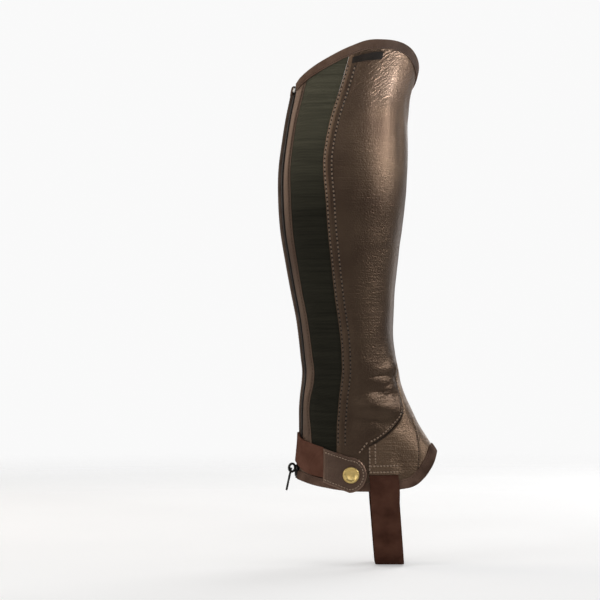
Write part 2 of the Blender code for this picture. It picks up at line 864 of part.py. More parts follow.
# One row for each corner of the body's outline: to the side and up, in millimetres.
SLIDER_OUTLINE = [
    (-2.6, -6.0),
    (2.6, -6.0),
    (3.8, -4.6),
    (4.0, 1.5),
    (3.4, 5.0),
    (2.2, 6.0),
    (-2.2, 6.0),
    (-3.4, 5.0),
    (-4.0, 1.5),
    (-3.8, -4.6),
]
SLIDER_LAYERS = [(SLIDER_LOW, 0.94), (SLIDER_LOW + 0.4, 1.0), (SLIDER_HIGH - 0.7, 1.0), (SLIDER_HIGH, 0.86)]
corners = len(SLIDER_OUTLINE)
slider_points = [
    slider_point(side * scale, up * scale, out)
    for out, scale in SLIDER_LAYERS
    for side, up in SLIDER_OUTLINE
]
slider_faces = [tuple(range(corners))[::-1]]
slider_faces.append(tuple(range(len(slider_points) - corners, len(slider_points))))
for layer in range(len(SLIDER_LAYERS) - 1):
    for corner in range(corners):
        a = layer * corners + corner
        b = layer * corners + (corner + 1) % corners
        slider_faces.append((a, b, b + corners, a + corners))
slider = add_mesh("zip_slider", slider_points, slider_faces, slider_look)

BRIDGE_SIDES = 20
bridge_turns = np.arange(BRIDGE_SIDES) * 2 * np.pi / BRIDGE_SIDES
bridge_points = []
bridge_loop = [
    (BRIDGE_RADIUS, -BRIDGE_HALF_WIDE),
    (BRIDGE_RADIUS, BRIDGE_HALF_WIDE),
    (BRIDGE_HOLE, BRIDGE_HALF_WIDE),
    (BRIDGE_HOLE, -BRIDGE_HALF_WIDE),
]
for turn in bridge_turns:
    for radius, side in bridge_loop:
        up = BRIDGE_UP + radius * np.sin(turn)
        out = BRIDGE_OUT + radius * np.cos(turn)
        bridge_points.append(slider_point(side, up, out))
bridge_faces = []
for step in range(BRIDGE_SIDES):
    for corner in range(4):
        a = step * 4 + corner
        b = step * 4 + (corner + 1) % 4
        c = ((step + 1) % BRIDGE_SIDES) * 4 + (corner + 1) % 4
        d = ((step + 1) % BRIDGE_SIDES) * 4 + corner
        bridge_faces.append((a, d, c, b))
bridge = add_mesh("slider_bridge", bridge_points, bridge_faces, slider_look)
bridge.hide_render = True
bridge.display_type = "WIRE"
join = slider.modifiers.new("bridge", "BOOLEAN")
join.operation = "UNION"
join.solver = "EXACT"
join.object = bridge

# The pull is a flat tab with a window at its top, whose bar lies in the slider's bridge. It
# turns on that bar, and hangs a little away from the leg.
PULL_LEAN = np.radians(12.5)
PULL_THICK = 1.3
PIVOT_UP = BRIDGE_UP - 0.7
PIVOT_OUT = BRIDGE_OUT + 0.8
PULL_SIDES = [-3.2, -2.15, 2.15, 3.2]
# One row for each line across the pull: distance along it and a factor on its width.
PULL_LINES = [(-0.7, 0.94), (0.7, 1.0), (6.0, 1.0), (7.2, 1.0), (13.0, 0.9), (20.5, 0.92), (22.6, 0.7)]
pivot = slider_point(0.0, PIVOT_UP, PIVOT_OUT)
level_out = np.array([out_way[0], out_way[1], 0.0]) / np.hypot(out_way[0], out_way[1])
hang_way = np.sin(PULL_LEAN) * level_out - np.cos(PULL_LEAN) * np.array([0, 0, 1.0])
pull_out = np.cross(side_way, -hang_way)
pull_middle = np.array(
    [
        [pivot + side * factor * side_way + along * hang_way for side in PULL_SIDES]
        for along, factor in PULL_LINES
    ]
)
pull_keep = np.ones((len(PULL_LINES) - 1, len(PULL_SIDES) - 1), bool)
pull_keep[1, 1] = False
add_wall(
    "zip_pull",
    pull_middle[::-1] + pull_out * PULL_THICK / 2,
    pull_middle[::-1] - pull_out * PULL_THICK / 2,
    pull_look,
    pull_keep[::-1],
    smooth_shade=False,
)
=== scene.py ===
import bpy
import numpy as np
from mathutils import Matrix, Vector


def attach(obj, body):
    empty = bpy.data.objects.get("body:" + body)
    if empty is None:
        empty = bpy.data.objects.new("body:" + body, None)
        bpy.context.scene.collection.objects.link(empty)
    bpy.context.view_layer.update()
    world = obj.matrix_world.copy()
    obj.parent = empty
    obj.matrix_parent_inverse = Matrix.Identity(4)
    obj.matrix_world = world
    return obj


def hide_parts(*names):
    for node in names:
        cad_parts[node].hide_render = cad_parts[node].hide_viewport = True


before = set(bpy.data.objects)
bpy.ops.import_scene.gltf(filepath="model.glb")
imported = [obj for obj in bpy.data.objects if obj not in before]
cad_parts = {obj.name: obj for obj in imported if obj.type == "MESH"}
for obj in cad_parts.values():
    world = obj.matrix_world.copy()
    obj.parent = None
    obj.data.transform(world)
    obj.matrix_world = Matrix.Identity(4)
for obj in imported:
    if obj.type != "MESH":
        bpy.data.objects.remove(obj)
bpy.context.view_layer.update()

# The shaft panel is one piece of bronze synthetic leather with a brushed fabric back, cut to the
# leg and sewn round it. Its edge at the elastic and the edge of the gap over the instep are
# folded in and top-stitched.
MM = 0.001
LEATHER = 1.8
SEAM_GAP = 0.3

# The leg runs up Z with the toe along +X and the outer side at -Y. Angles go round it in degrees:
# 0 back, 90 outer side, 180 front, 270 inner side. Heights, widths and offsets are in
# millimetres, and an offset counts from the leather's inner face. One row for each level
# section: where that face is at the back and at the front, half its width, how much narrower
# its front half is than its rear half, and its shift in Y.
SECTION = np.array(
    [
        (-322.0, -47.7, 125.5, 38.0, 0.28, 0.0),
        (-306.0, -46.2, 115.5, 38.0, 0.28, 0.0),
        (-287.0, -44.4, 104.0, 38.0, 0.27, 0.0),
        (-271.0, -42.7, 94.0, 38.0, 0.25, 0.0),
        (-255.0, -41.3, 83.5, 38.2, 0.22, 0.0),
        (-239.0, -41.2, 73.7, 38.4, 0.19, 0.0),
        (-225.0, -41.2, 67.0, 38.6, 0.17, 0.0),
        (-211.0, -40.2, 60.6, 39.0, 0.15, 0.0),
        (-199.0, -38.7, 57.0, 39.6, 0.13, 0.0),
        (-187.0, -38.0, 54.4, 40.0, 0.12, 0.2),
        (-172.0, -39.6, 51.2, 40.6, 0.11, 0.4),
        (-157.0, -41.2, 49.2, 41.5, 0.10, 0.6),
        (-135.0, -44.1, 49.0, 43.0, 0.10, 1.0),
        (-105.0, -50.1, 50.7, 45.5, 0.10, 1.6),
        (-75.0, -55.7, 53.7, 48.5, 0.11, 2.0),
        (-45.0, -60.7, 57.5, 51.5, 0.12, 1.8),
        (-15.0, -62.9, 61.2, 53.5, 0.13, 1.2),
        (15.0, -62.7, 63.2, 54.5, 0.13, 0.6),
        (45.0, -58.9, 63.7, 54.3, 0.12, 0.2),
        (70.0, -54.7, 63.7, 53.7, 0.10, 0.0),
        (89.0, -50.7, 65.9, 53.5, 0.09, 0.0),
        (107.0, -47.7, 71.0, 54.0, 0.07, 0.0),
        (125.0, -44.7, 75.2, 54.5, 0.05, 0.0),
        (143.0, -41.2, 78.5, 55.0, 0.04, 0.0),
        (158.0, -38.2, 81.2, 55.5, 0.04, 0.0),
    ],
    dtype=[
        ("height", float),
        ("back", float),
        ("front", float),
        ("half_width", float),
        ("narrowing", float),
        ("sideways", float),
    ],
)

# The large folds of the whole wall, then the fine creases of its face. Columns: centre, half
# size round the leg in degrees and upwards, climb per degree, and rise (a trough is negative).
FOLD = [(name, float) for name in ("angle", "height", "wide", "tall", "climb", "rise")]
FOLDS = np.array(
    [
        (130.0, -191.0, 17.0, 4.5, 0.03, -1.7),
        (163.0, -196.0, 13.0, 6.0, -0.10, -1.5),
        (120.0, -206.5, 17.0, 5.0, -0.06, -2.8),
        (117.0, -220.0, 24.0, 7.5, -0.03, 2.8),
        (108.0, -236.0, 22.0, 7.0, -0.15, -1.6),
        (150.0, -183.0, 16.0, 5.5, 0.05, 1.2),
        (100.0, -178.0, 20.0, 9.0, 0.05, 0.9),
        (228.0, -188.0, 22.0, 5.0, 0.16, -2.0),
        (240.0, -203.0, 26.0, 6.0, 0.22, 2.0),
        (236.0, -217.0, 24.0, 5.5, 0.20, -2.2),
        (258.0, -226.0, 24.0, 7.0, 0.16, 1.7),
        (290.0, -205.0, 20.0, 8.0, 0.10, -1.2),
        (150.0, 60.0, 10.0, 55.0, 0.0, -1.0),
        (128.0, 85.0, 9.0, 50.0, 0.0, 0.9),
        (215.0, 40.0, 14.0, 50.0, 0.0, -1.0),
        (250.0, 45.0, 12.0, 45.0, 0.0, 0.8),
    ],
    dtype=FOLD,
)
CREASES = np.array(
    [
        (120, -205.0, 16, 3.6, -0.04, 0.8),
        (129, -206.4, 10, 1.2, 0.07, -0.9),
        (128, -208.8, 9, 1.0, 0.09, 1.1),
        (127, -210.8, 9, 0.8, 0.06, -0.6),
        (127, -212.8, 8, 1.0, 0.00, 1.1),
        (126, -214.4, 8, 0.8, -0.02, -0.5),
        (102, -210.5, 10, 3.4, 0.05, -0.4),
        (136, -205.5, 8, 2.6, 0.1, 0.7),
        (130, -191.0, 17, 4.5, 0.03, 1.1),
        (116, -215.0, 20, 3.8, 0.03, -1.0),
        (116, -226.5, 22, 4.4, 0.0, 0.9),
        (125, -191.3, 13, 1.1, 0.05, -0.45),
        (127, -188.6, 13, 1.4, 0.05, 0.25),
        (131, -201.0, 7, 1.6, 0.12, -0.5),
        (136, -204.5, 8, 1.6, 0.10, 0.4),
        (143, -213.0, 6, 2.0, 0.25, -0.45),
        (112, -199.0, 12, 2.2, -0.05, -0.4),
        (105, -229.0, 14, 2.0, -0.12, -0.3),
        (150, -190.0, 9, 1.4, 0.10, -0.3),
        (135, -178.0, 16, 6.0, 0.02, -0.35),
        (152, -176.0, 12, 2.0, 0.02, 0.3),
        (118, -172.0, 14, 2.2, 0.04, -0.25),
        (165, -181.0, 10, 1.6, -0.05, -0.4),
        (222, -193.5, 13, 1.6, 0.20, -0.6),
        (230, -197.5, 14, 1.3, 0.22, 0.5),
        (238, -210.0, 16, 1.6, 0.24, -0.6),
        (246, -214.0, 14, 1.3, 0.22, 0.5),
        (216, -203.0, 9, 1.5, 0.30, -0.5),
        (262, -219.0, 16, 2.2, 0.18, -0.5),
        (280, -212.0, 18, 2.4, 0.12, 0.45),
        (300, -198.0, 16, 2.2, 0.08, -0.5),
        (312, -214.0, 15, 2.6, 0.05, 0.5),
        (332, -203.0, 12, 2.0, -0.06, -0.45),
        (345, -222.0, 10, 2.4, -0.06, 0.4),
        (255, -40.0, 22, 2.4, 0.05, -0.4),
        (236, -36.0, 18, 2.6, 0.04, 0.3),
        (268, -128.0, 18, 2.6, -0.04, -0.3),
        (145, -62.0, 16, 2.6, 0.03, -0.2),
        (133, -58.0, 15, 2.2, 0.03, 0.2),
        (150, 28.0, 14, 2.0, 0.05, -0.2),
        (140, 96.0, 8, 2.0, -0.35, -0.3),
        (147, 90.0, 9, 2.0, -0.35, 0.3),
        (134, 84.0, 8, 1.8, -0.40, -0.25),
        (164, 84.0, 7, 16.0, 0.0, -0.8),
        (174, 78.0, 5, 18.0, 0.0, 0.5),
        (120, 62.0, 9, 22.0, 0.0, -0.5),
        (143, 44.0, 6, 26.0, 0.0, 0.4),
        (106, -10.0, 7, 40.0, 0.0, -0.3),
        (124, -110.0, 8, 40.0, 0.0, 0.3),
        (200, 20.0, 8, 34.0, 0.0, 0.4),
        (230, -80.0, 9, 44.0, 0.0, -0.3),
    ],
    dtype=FOLD,
)

# Lines up the leg give an angle for a height: the middle of the zip, the elastic's front edge and
# the line where the shaft's net of points turns from the side to the front. Levels round the leg
# give a height for an angle: the top edge, the hem and the gusset's seam.
EDGE = [("height", float), ("angle", float)]
LEVEL = [("angle", float), ("height", float)]
ZIP_LINE = np.array(
    [(-306, 5.5), (-287, 6), (-240, 9), (-180, 13), (-100, 16), (0, 17), (100, 16)], dtype=EDGE
)
ELASTIC_FRONT = np.array(
    [
        (-300, 59.0),
        (-252, 64.0),
        (-214, 72.5),
        (-190, 77.0),
        (-168, 80.5),
        (-117, 79.0),
        (-66, 77.0),
        (-15, 74.0),
        (29, 70.3),
        (61, 72.8),
        (87, 76.6),
        (120, 79.5),
    ],
    dtype=EDGE,
)
MIDDLE_LINE = np.array(
    [(-305, 83.5), (-289.5, 85.9), (-271, 89.2), (-260, 91.9), (-205, 103), (140, 103)],
    dtype=EDGE,
)
TOP_EDGE = np.array(
    [
        (4, 98.5),
        (16, 99.5),
        (22, 102.2),
        (26.5, 105.7),
        (31, 108.4),
        (57.7, 123.7),
        (80, 135.7),
        (95, 141.7),
        (109, 142.7),
        (123.6, 141.7),
        (136, 138.7),
        (144, 135.7),
        (155.4, 129.7),
        (169, 121.7),
        (180, 116),
        (195, 106),
        (210, 97),
        (240, 87),
        (270, 85),
        (300, 87.5),
        (330, 93),
        (360, 98),
        (380, 99.5),
    ],
    dtype=LEVEL,
)
HEM_EDGE = np.array(
    [
        (0, -294),
        (13, -294.7),
        (47, -300.7),
        (67, -304.2),
        (91, -304.6),
        (104, -303.3),
        (119, -299.5),
        (128.4, -293.2),
        (140.7, -284.3),
        (168.7, -269.7),
        (180, -268.2),
    ],
    dtype=LEVEL,
)
GUSSET_SEAM = np.array(
    [
        (0, -260),
        (60, -260),
        (92, -260),
        (108.7, -251.8),
        (121, -244.5),
        (131, -238.5),
        (137.5, -234),
        (145.4, -226.5),
        (151.9, -217),
        (155.7, -206.5),
        (159, -197),
        (165, -187.5),
        (172, -177),
        (180, -168),
    ],
    dtype=LEVEL,
)


def smooth(at, places, values):
    """A smooth curve through values at rising places, going on straight past its ends."""
    slopes = np.gradient(values, places)
    inside = np.clip(at, places[0], places[-1])
    row = np.clip(np.searchsorted(places, inside) - 1, 0, len(places) - 2)
    step = places[row + 1] - places[row]
    t = (inside - places[row]) / step
    start = (1 + 2 * t) * (1 - t) ** 2 * values[row] + t * (1 - t) ** 2 * step * slopes[row]
    end = t**2 * (3 - 2 * t) * values[row + 1] - t**2 * (1 - t) * step * slopes[row + 1]
    beyond = np.where(at < places[0], slopes[0], slopes[-1])
    return start + end + (at - inside) * beyond


def ramp(value, low, high):
    """0 below low, 1 above high and a soft step between them."""
    t = np.clip((value - low) / (high - low), 0, 1)
    return t * t * (3 - 2 * t)


def bump(distance, half_wide):
    """A soft rounded ridge: 1 at distance 0, falling away on both sides."""
    return np.exp(-((distance / half_wide) ** 2))


def from_back(angle):
    """Degrees away from the back, 0 to 180, the same on both sides of the leg."""
    return np.abs((angle + 180) % 360 - 180)


def edge_line(table):
    """A line up the leg: its angle at any height, smooth through the table's rows."""
    return lambda height: smooth(height, table["height"], table["angle"])


def top_level(angle):
    """The top edge's height, smooth through its table."""
    return smooth(angle, TOP_EDGE["angle"], TOP_EDGE["height"])


def hem_level(angle):
    """The hem's height, smooth through its table and the same on both sides."""
    return smooth(from_back(angle), HEM_EDGE["angle"], HEM_EDGE["height"])


def seam_level(angle):
    """The height of the gusset's seam, smooth through its table and the same on both sides."""
    return smooth(from_back(angle), GUSSET_SEAM["angle"], GUSSET_SEAM["height"])


def rise_of(table, angle, height):
    """The sum of a table's folds: each is a ridge or trough that fades out round its centre."""
    rise = np.zeros(np.shape(angle))
    for fold in table:
        away = (angle - fold["angle"] + 180) % 360 - 180
        across = (height - fold["height"] - fold["climb"] * away) / fold["tall"]
        rise = rise + fold["rise"] * np.exp(-((away / fold["wide"]) ** 2) - across**2)
    return rise


def leg(angle, height):
    """Points of the leather's inner face. A section is an ellipse whose width shrinks evenly
    from back to front, and the folds move its points straight out by their rise."""
    angle, height = np.broadcast_arrays(angle, height)
    size = {
        name: smooth(height, SECTION["height"], SECTION[name]) for name in SECTION.dtype.names
    }
    depth = (size["front"] - size["back"]) / 2
    cosine = np.cos(np.radians(angle))
    sine = np.sin(np.radians(angle))
    x = (size["front"] + size["back"]) / 2 - depth * cosine
    y = size["sideways"] - size["half_width"] * sine * (1 + size["narrowing"] * cosine)
    out_x = -size["half_width"] * cosine
    out_y = -depth * sine
    share = rise_of(FOLDS, angle, height) / np.hypot(out_x, out_y)
    return np.stack([x + share * out_x, y + share * out_y, height], axis=-1)


def outward(angle, height):
    """The direction straight out: square to the steps round and up the leg."""
    around = leg(angle + 0.3, height) - leg(angle - 0.3, height)
    upward = leg(angle, height + 0.5) - leg(angle, height - 0.5)
    normal = np.cross(around, upward)
    return normal / np.linalg.norm(normal, axis=-1, keepdims=True)


def surface(angle, height, offset):
    """Points that stand out from the leather's inner face by an offset."""
    angle, height, offset = np.broadcast_arrays(angle, height, offset)
    return leg(angle, height) + offset[..., None] * outward(angle, height)


def pace(angle, height):
    """Millimetres along the leather for one degree round the leg."""
    return np.linalg.norm(leg(angle + 0.5, height) - leg(angle - 0.5, height), axis=-1)


def shifted(line, distance):
    """A line up the leg moved round it by a distance in millimetres."""
    return lambda height: line(height) + distance / pace(line(height), height)


def spaced(counts):
    """Places 0, 1, 2 ... with a given number of equal steps between each and the next."""
    steps = [np.linspace(i, i + 1, count, endpoint=False) for i, count in enumerate(counts)]
    return np.concatenate([*steps, [len(counts)]])


def lattice(lines, across, levels, up):
    """Angles and heights of a net: its columns are blends of the lines up the leg, its rows are
    blends of the levels round it, and each crossing is found by going to and fro between them."""
    line = np.minimum(across.astype(int), len(lines) - 2)
    share = across - line

    def angle_at_height(height):
        """Each column's angle: a share of the way from one line up the leg to the next."""
        every = np.stack([each(height) for each in lines])
        index = np.broadcast_to(line, (1, *height.shape))
        low = np.take_along_axis(every, index, 0)[0]
        high = np.take_along_axis(every, index + 1, 0)[0]
        return low + share * (high - low)

    marks = []
    for level in levels:
        height = np.zeros(len(across))
        for _ in range(30):
            height = level(angle_at_height(height))
        marks.append(height)
    marks = np.array(marks)
    row = np.minimum(up.astype(int), len(levels) - 2)
    heights = marks[row] + (up - row)[:, None] * (marks[row + 1] - marks[row])
    return angle_at_height(heights), heights


def unevenness(angle, height):
    """Slow swells of the face: twelve crossing waves, 16 to 50 mm long, added up."""
    random = np.random.default_rng(11)
    total = np.zeros(np.shape(angle))
    for _ in range(12):
        length = random.uniform(16, 50)
        turn = random.uniform(0, np.pi)
        phase = random.uniform(0, 2 * np.pi)
        run = angle * 0.9 * np.cos(turn) + height * np.sin(turn)
        total = total + np.sin(run * 2 * np.pi / length + phase) * length / 50
    return 0.055 * total


def relief(angle, height):
    """Creases and swells of the leather's face. They die out where it is held at an edge."""
    held = ramp(top_level(angle) - height, 6, 18) * ramp(height - hem_level(angle), 6, 18)
    return held * (rise_of(CREASES, angle, height) + unevenness(angle, height))


def add_node(tree, kind, inputs=None, **settings):
    """A shader node with its settings. An input is a value or another node's output."""
    made = tree.nodes.new(kind)
    for key, value in settings.items():
        setattr(made, key, value)
    for key, value in (inputs or {}).items():
        if isinstance(value, bpy.types.NodeSocket):
            tree.links.new(value, made.inputs[key])
        else:
            made.inputs[key].default_value = value
    return made


def new_look(name, **sockets):
    """A material with plain values on its shader. Returns it, its tree and its shader."""
    made = bpy.data.materials.new(name)
    made.use_nodes = True
    shader = made.node_tree.nodes["Principled BSDF"]
    for key, value in sockets.items():
        shader.inputs[key.replace("_", " ")].default_value = value
    return made, made.node_tree, shader


def drive(tree, shader, **outputs):
    """Nodes' outputs drive the shader's sockets of the same names."""
    for key, value in outputs.items():
        tree.links.new(value, shader.inputs[key.replace("_", " ")])


def own_place(tree):
    """The place of each point in its piece's own coordinates, in metres."""
    return add_node(tree, "ShaderNodeTexCoord").outputs["Object"]


def noise(tree, place, scale, detail):
    """Clouds from 0 to 1: a larger scale makes them smaller, more detail makes them rougher."""
    return add_node(
        tree, "ShaderNodeTexNoise", {"Vector": place, "Scale": scale, "Detail": detail}
    ).outputs["Fac"]


def drawn_out(tree, place, scale):
    """Places times three numbers, so that a pattern is longest along the smallest of them."""
    return add_node(tree, "ShaderNodeMapping", {"Vector": place, "Scale": scale}).outputs["Vector"]


def between(tree, value, low, high, at_low, at_high, **settings):
    """A number that goes evenly from at_low to at_high as the value goes from low to high."""
    ends = {"From Min": low, "From Max": high, "To Min": at_low, "To Max": at_high}
    made = add_node(tree, "ShaderNodeMapRange", {"Value": value, **ends}, **settings)
    return made.outputs["Result"]


def by_height(tree, low, high, at_low, at_high):
    """The same between two heights, which are in metres."""
    height = add_node(tree, "ShaderNodeSeparateXYZ", {"Vector": own_place(tree)}).outputs["Z"]
    return between(tree, height, low, high, at_low, at_high)


def raised(tree, pattern, strength, distance, below=None, invert=False):
    """The way the surface faces where a pattern stands up by a distance, over one below it."""
    inputs = {"Height": pattern, "Strength": strength, "Distance": distance}
    if below is not None:
        inputs["Normal"] = below
    return add_node(tree, "ShaderNodeBump", inputs, invert=invert).outputs["Normal"]


def two_tones(tree, factor, dark, light, low=0.3, high=0.7):
    """A colour that goes from dark to light as the factor goes from low to high."""
    blend = add_node(tree, "ShaderNodeValToRGB", {"Fac": factor})
    blend.color_ramp.elements[0].position = low
    blend.color_ramp.elements[0].color = (*dark, 1)
    blend.color_ramp.elements[1].position = high
    blend.color_ramp.elements[1].color = (*light, 1)
    return blend.outputs["Color"]


def scaled(tree, colour, share):
    """A colour times a number, for parts that are lighter or darker than the rest."""
    return add_node(
        tree, "ShaderNodeVectorMath", {0: colour, "Scale": share}, operation="SCALE"
    ).outputs["Vector"]


def leather_look(name, dark, light, roughness, hair=0.0004, edged=False):
    """Pearl leather: two tones drift into each other, and the face is raised in fine pebbles
    with hair-thin level creases in patches and slanted ones near the top. An edged piece has
    an edge attribute that makes the leather lighter or darker along its edges: painted light and
    shade."""
    made, tree, shader = new_look(
        name, Metallic=0.8, IOR=1.5, Coat_Weight=0.06, Coat_Roughness=0.32
    )
    place = own_place(tree)
    drift = noise(tree, place, 28.0, 4.0)
    tone = two_tones(tree, drift, dark, light)
    if edged:
        edge = add_node(tree, "ShaderNodeAttribute", attribute_name="edge").outputs["Fac"]
        tone = scaled(tree, tone, edge)
    rough = between(tree, drift, 0.0, 1.0, roughness - 0.05, roughness + 0.06)
    level_hairs = noise(tree, drawn_out(tree, place, (45.0, 45.0, 760.0)), 1.0, 3.0)
    in_patches = between(tree, noise(tree, place, 16.0, 2.0), 0.35, 0.65, 0.25, 1.0)
    normal = raised(tree, level_hairs, in_patches, hair)
    tilted_place = add_node(
        tree, "ShaderNodeMapping", {"Vector": place, "Rotation": (0.0, 0.66, 0.0)}
    ).outputs["Vector"]
    slanted_hairs = noise(tree, drawn_out(tree, tilted_place, (90.0, 90.0, 620.0)), 1.0, 2.0)
    near_top = by_height(tree, 0.06, 0.09, 0.0, 1.0)
    normal = raised(tree, slanted_hairs, near_top, 0.0005, normal)
    pebbles = add_node(
        tree, "ShaderNodeTexVoronoi", {"Vector": place, "Scale": 680.0}, feature="SMOOTH_F1"
    ).outputs["Distance"]
    normal = raised(tree, pebbles, 0.75, 0.0003, normal, invert=True)
    drive(tree, shader, Base_Color=tone, Roughness=rough, Normal=normal)
    return made


def backing_look(name, dark, light):
    """The leather's back: matt brushed fabric with a fuzzy grain."""
    made, tree, shader = new_look(name, Roughness=0.95, Sheen_Weight=0.3)
    fuzz = noise(tree, own_place(tree), 900.0, 5.0)
    normal = raised(tree, fuzz, 0.5, 0.0003)
    drive(tree, shader, Base_Color=two_tones(tree, fuzz, dark, light), Normal=normal)
    return made


def finish_mesh(name, points, faces, looks, slots=None):
    """One object from points in millimetres, smooth but for its sharp edges."""
    mesh = bpy.data.meshes.new(name)
    mesh.from_pydata((np.asarray(points) * MM).tolist(), [], faces)
    for each in looks:
        mesh.materials.append(each)
    if slots is not None:
        mesh.polygons.foreach_set("material_index", np.asarray(slots, np.int32))
    mesh.shade_smooth()
    mesh.set_sharp_from_angle(angle=np.radians(50))
    mesh.validate()
    made = bpy.data.objects.new(name, mesh)
    bpy.context.scene.collection.objects.link(made)
    return made


def run_of(points, axis):
    """The distance walked along one axis of a net of points, from its first row or column."""
    steps = np.linalg.norm(np.diff(points, axis=axis), axis=-1)
    start = np.zeros_like(np.take(steps, [0], axis=axis))
    return np.cumsum(np.concatenate([start, steps], axis=axis), axis=axis)


def wall(name, outer, inner, looks, keep=None, edge=None):
    """A closed cloth wall between two nets of points. Seen from outside, columns run to the
    right and rows run upwards. The UV map holds the distances round and up, in metres, and the
    edge attribute how light each point is, for painted light and shade along edges."""
    rows, columns = outer.shape[:2]
    number = np.arange(rows * columns).reshape(rows, columns)
    cells = np.stack([number[:-1, :-1], number[:-1, 1:], number[1:, 1:], number[1:, :-1]], -1)
    cells = cells.reshape(-1, 4) if keep is None else cells[keep]
    used, cells = np.unique(cells, return_inverse=True)
    cells = cells.reshape(-1, 4)
    count = len(used)
    points = np.concatenate([outer.reshape(-1, 3)[used], inner.reshape(-1, 3)[used]])
    sides = np.concatenate([cells[:, [i, (i + 1) % 4]] for i in range(4)])
    forth = sides[:, 0] * count + sides[:, 1]
    back = sides[:, 1] * count + sides[:, 0]
    rim = sides[~np.isin(forth, back)]
    rim = np.stack([rim[:, 1], rim[:, 0], rim[:, 0] + count, rim[:, 1] + count], -1)
    faces = np.concatenate([cells, cells[:, ::-1] + count, rim])
    slots = np.zeros(len(faces), int)
    slots[len(cells) : 2 * len(cells)] = len(looks) - 1
    made = finish_mesh(name, points, faces.tolist(), looks, slots)
    around = run_of(outer, 1).reshape(-1)[used]
    upward = run_of(outer, 0).reshape(-1)[used]
    places = np.stack([around, upward], -1) * MM
    corner = np.empty(len(made.data.loops), np.int32)
    made.data.loops.foreach_get("vertex_index", corner)
    layer = made.data.uv_layers.new(name="cloth")
    layer.uv.foreach_set("vector", places[corner % count].astype(np.float32).ravel())
    if edge is not None:
        tone = made.data.attributes.new("edge", "FLOAT", "POINT")
        tone.data.foreach_set("value", np.tile(edge.reshape(-1)[used], 2).astype(np.float32))
    return made


def fit(pieces, node=None, body="half_chap"):
    """Pieces move with a body; the node they replace, when one is named, is hidden."""
    if node:
        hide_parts(node)
    for piece in pieces:
        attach(piece, body)


zip_line = edge_line(ZIP_LINE)
ZIP_HALF_GAP = 4.6
BINDING_TURN = 1.3
inner_zip_edge = shifted(zip_line, -(ZIP_HALF_GAP + BINDING_TURN))
elastic_front = edge_line(ELASTIC_FRONT)
middle_line = edge_line(MIDDLE_LINE)


def inner_zip_edge_round(height):
    """The shaft's edge along the zip, counted as the end of the way round the leg."""
    return 360 + inner_zip_edge(height)


def seam_distance(angle, height):
    """Millimetres from the gusset's seam, up the leg, measured square to it."""
    slope = (seam_level(angle + 0.5) - seam_level(angle - 0.5)) / pace(angle, height)
    return (height - seam_level(angle)) / np.sqrt(1 + slope**2)


# The fold along the elastic stands up and holds two rows of stitches, the one along the gusset's
# seam one row. The seam's end is a pressed line from the gusset's corner to the snap tab.
FOLDED_EDGE = 0.75
FOLD_WIDE = 10.2
EDGE_STITCH = 1.7
SECOND_STITCH = 8.4
SEAM_FOLD = 0.3
SEAM_STITCH = 2.2
SEAM_END = np.array([(80.5, -271.5), (84.0, -267.6), (88.0, -263.2), (91.6, -259.4)], dtype=LEVEL)
SEAM_END_LEAN = 0.62


def seam_end_level(angle):
    """The height of the seam's pressed end, smooth through its table."""
    return smooth(from_back(angle), SEAM_END["angle"], SEAM_END["height"])


def shaft_face(angle, height):
    """The outer face's offset: leather, relief and the height of the folded edges, less the
    grooves along the stitches and the rounding at the cut edges. The pressed line is a ridge
    beside a trough."""
    inward = (angle - elastic_front(height)) * pace(angle, height)
    above_tab = ramp(height, -277, -262)
    band = (1 - ramp(inward, FOLD_WIDE, FOLD_WIDE + 1.6)) * above_tab
    grooves = bump(inward - EDGE_STITCH, 0.8) + bump(inward - SECOND_STITCH, 0.9)
    over_gusset = ramp(from_back(angle), 88, 95)
    from_seam = seam_distance(angle, height)
    diagonal = over_gusset * (1 - ramp(from_back(angle), 143, 150))
    seam_band = SEAM_FOLD * (1 - ramp(from_seam, 3.5, 7)) * diagonal
    seam_groove = bump(from_seam - SEAM_STITCH, 0.9) * over_gusset
    edge = bump(inward, 0.7) + bump(from_seam, 0.8) * over_gusset * (height < -160)
    pressed = (height - seam_end_level(angle)) * SEAM_END_LEAN
    pressed_here = ramp(from_back(angle), 79.5, 81) * (1 - ramp(from_back(angle), 91.5, 92.5))
    return (
        LEATHER
        + relief(angle, height)
        + pressed_here * (0.35 * bump(pressed - 1.6, 1.3) - 0.45 * bump(pressed, 0.6))
        + FOLDED_EDGE * np.maximum(band, seam_band)
        - 0.35 * grooves * above_tab
        - 0.3 * seam_groove * diagonal
        - 0.6 * edge
    )


def shaft_edge_tone(angle, height):
    """How light the leather is, 1 as its own colour: more on the folded edge, most above the calf,
    a painted highlight of the rolled edge; less below the top binding on the outer side, painted
    shade that tones down the gloss there; and dark at the gusset's cut, painted shade of the seam."""
    inward = (angle - elastic_front(height)) * pace(angle, height)
    # Painted highlight along the folded edge, strongest above the calf.
    edge_highlight = (1 - ramp(inward, 3.8, 5.4)) * (0.25 + 1.15 * ramp(height, -40, 5))
    # Painted shade along the gusset's seam.
    seam_shade = bump(seam_distance(angle, height), 0.9) * ramp(from_back(angle), 93, 97)
    # Painted shade below the top binding on the outer side, where it tones down the gloss.
    top_shade = bump(angle - 123, 17) * ramp(height, 66, 92)
    return (1 + edge_highlight) * (1 - 0.45 * top_shade) * (1 - 0.8 * seam_shade * (height < -150))


leather_face = leather_look(
    "pearl_leather", (0.076, 0.046, 0.029), (0.104, 0.067, 0.042), 0.40, edged=True
)
leather_back = backing_look("leather_backing", (0.06, 0.042, 0.034), (0.11, 0.08, 0.065))

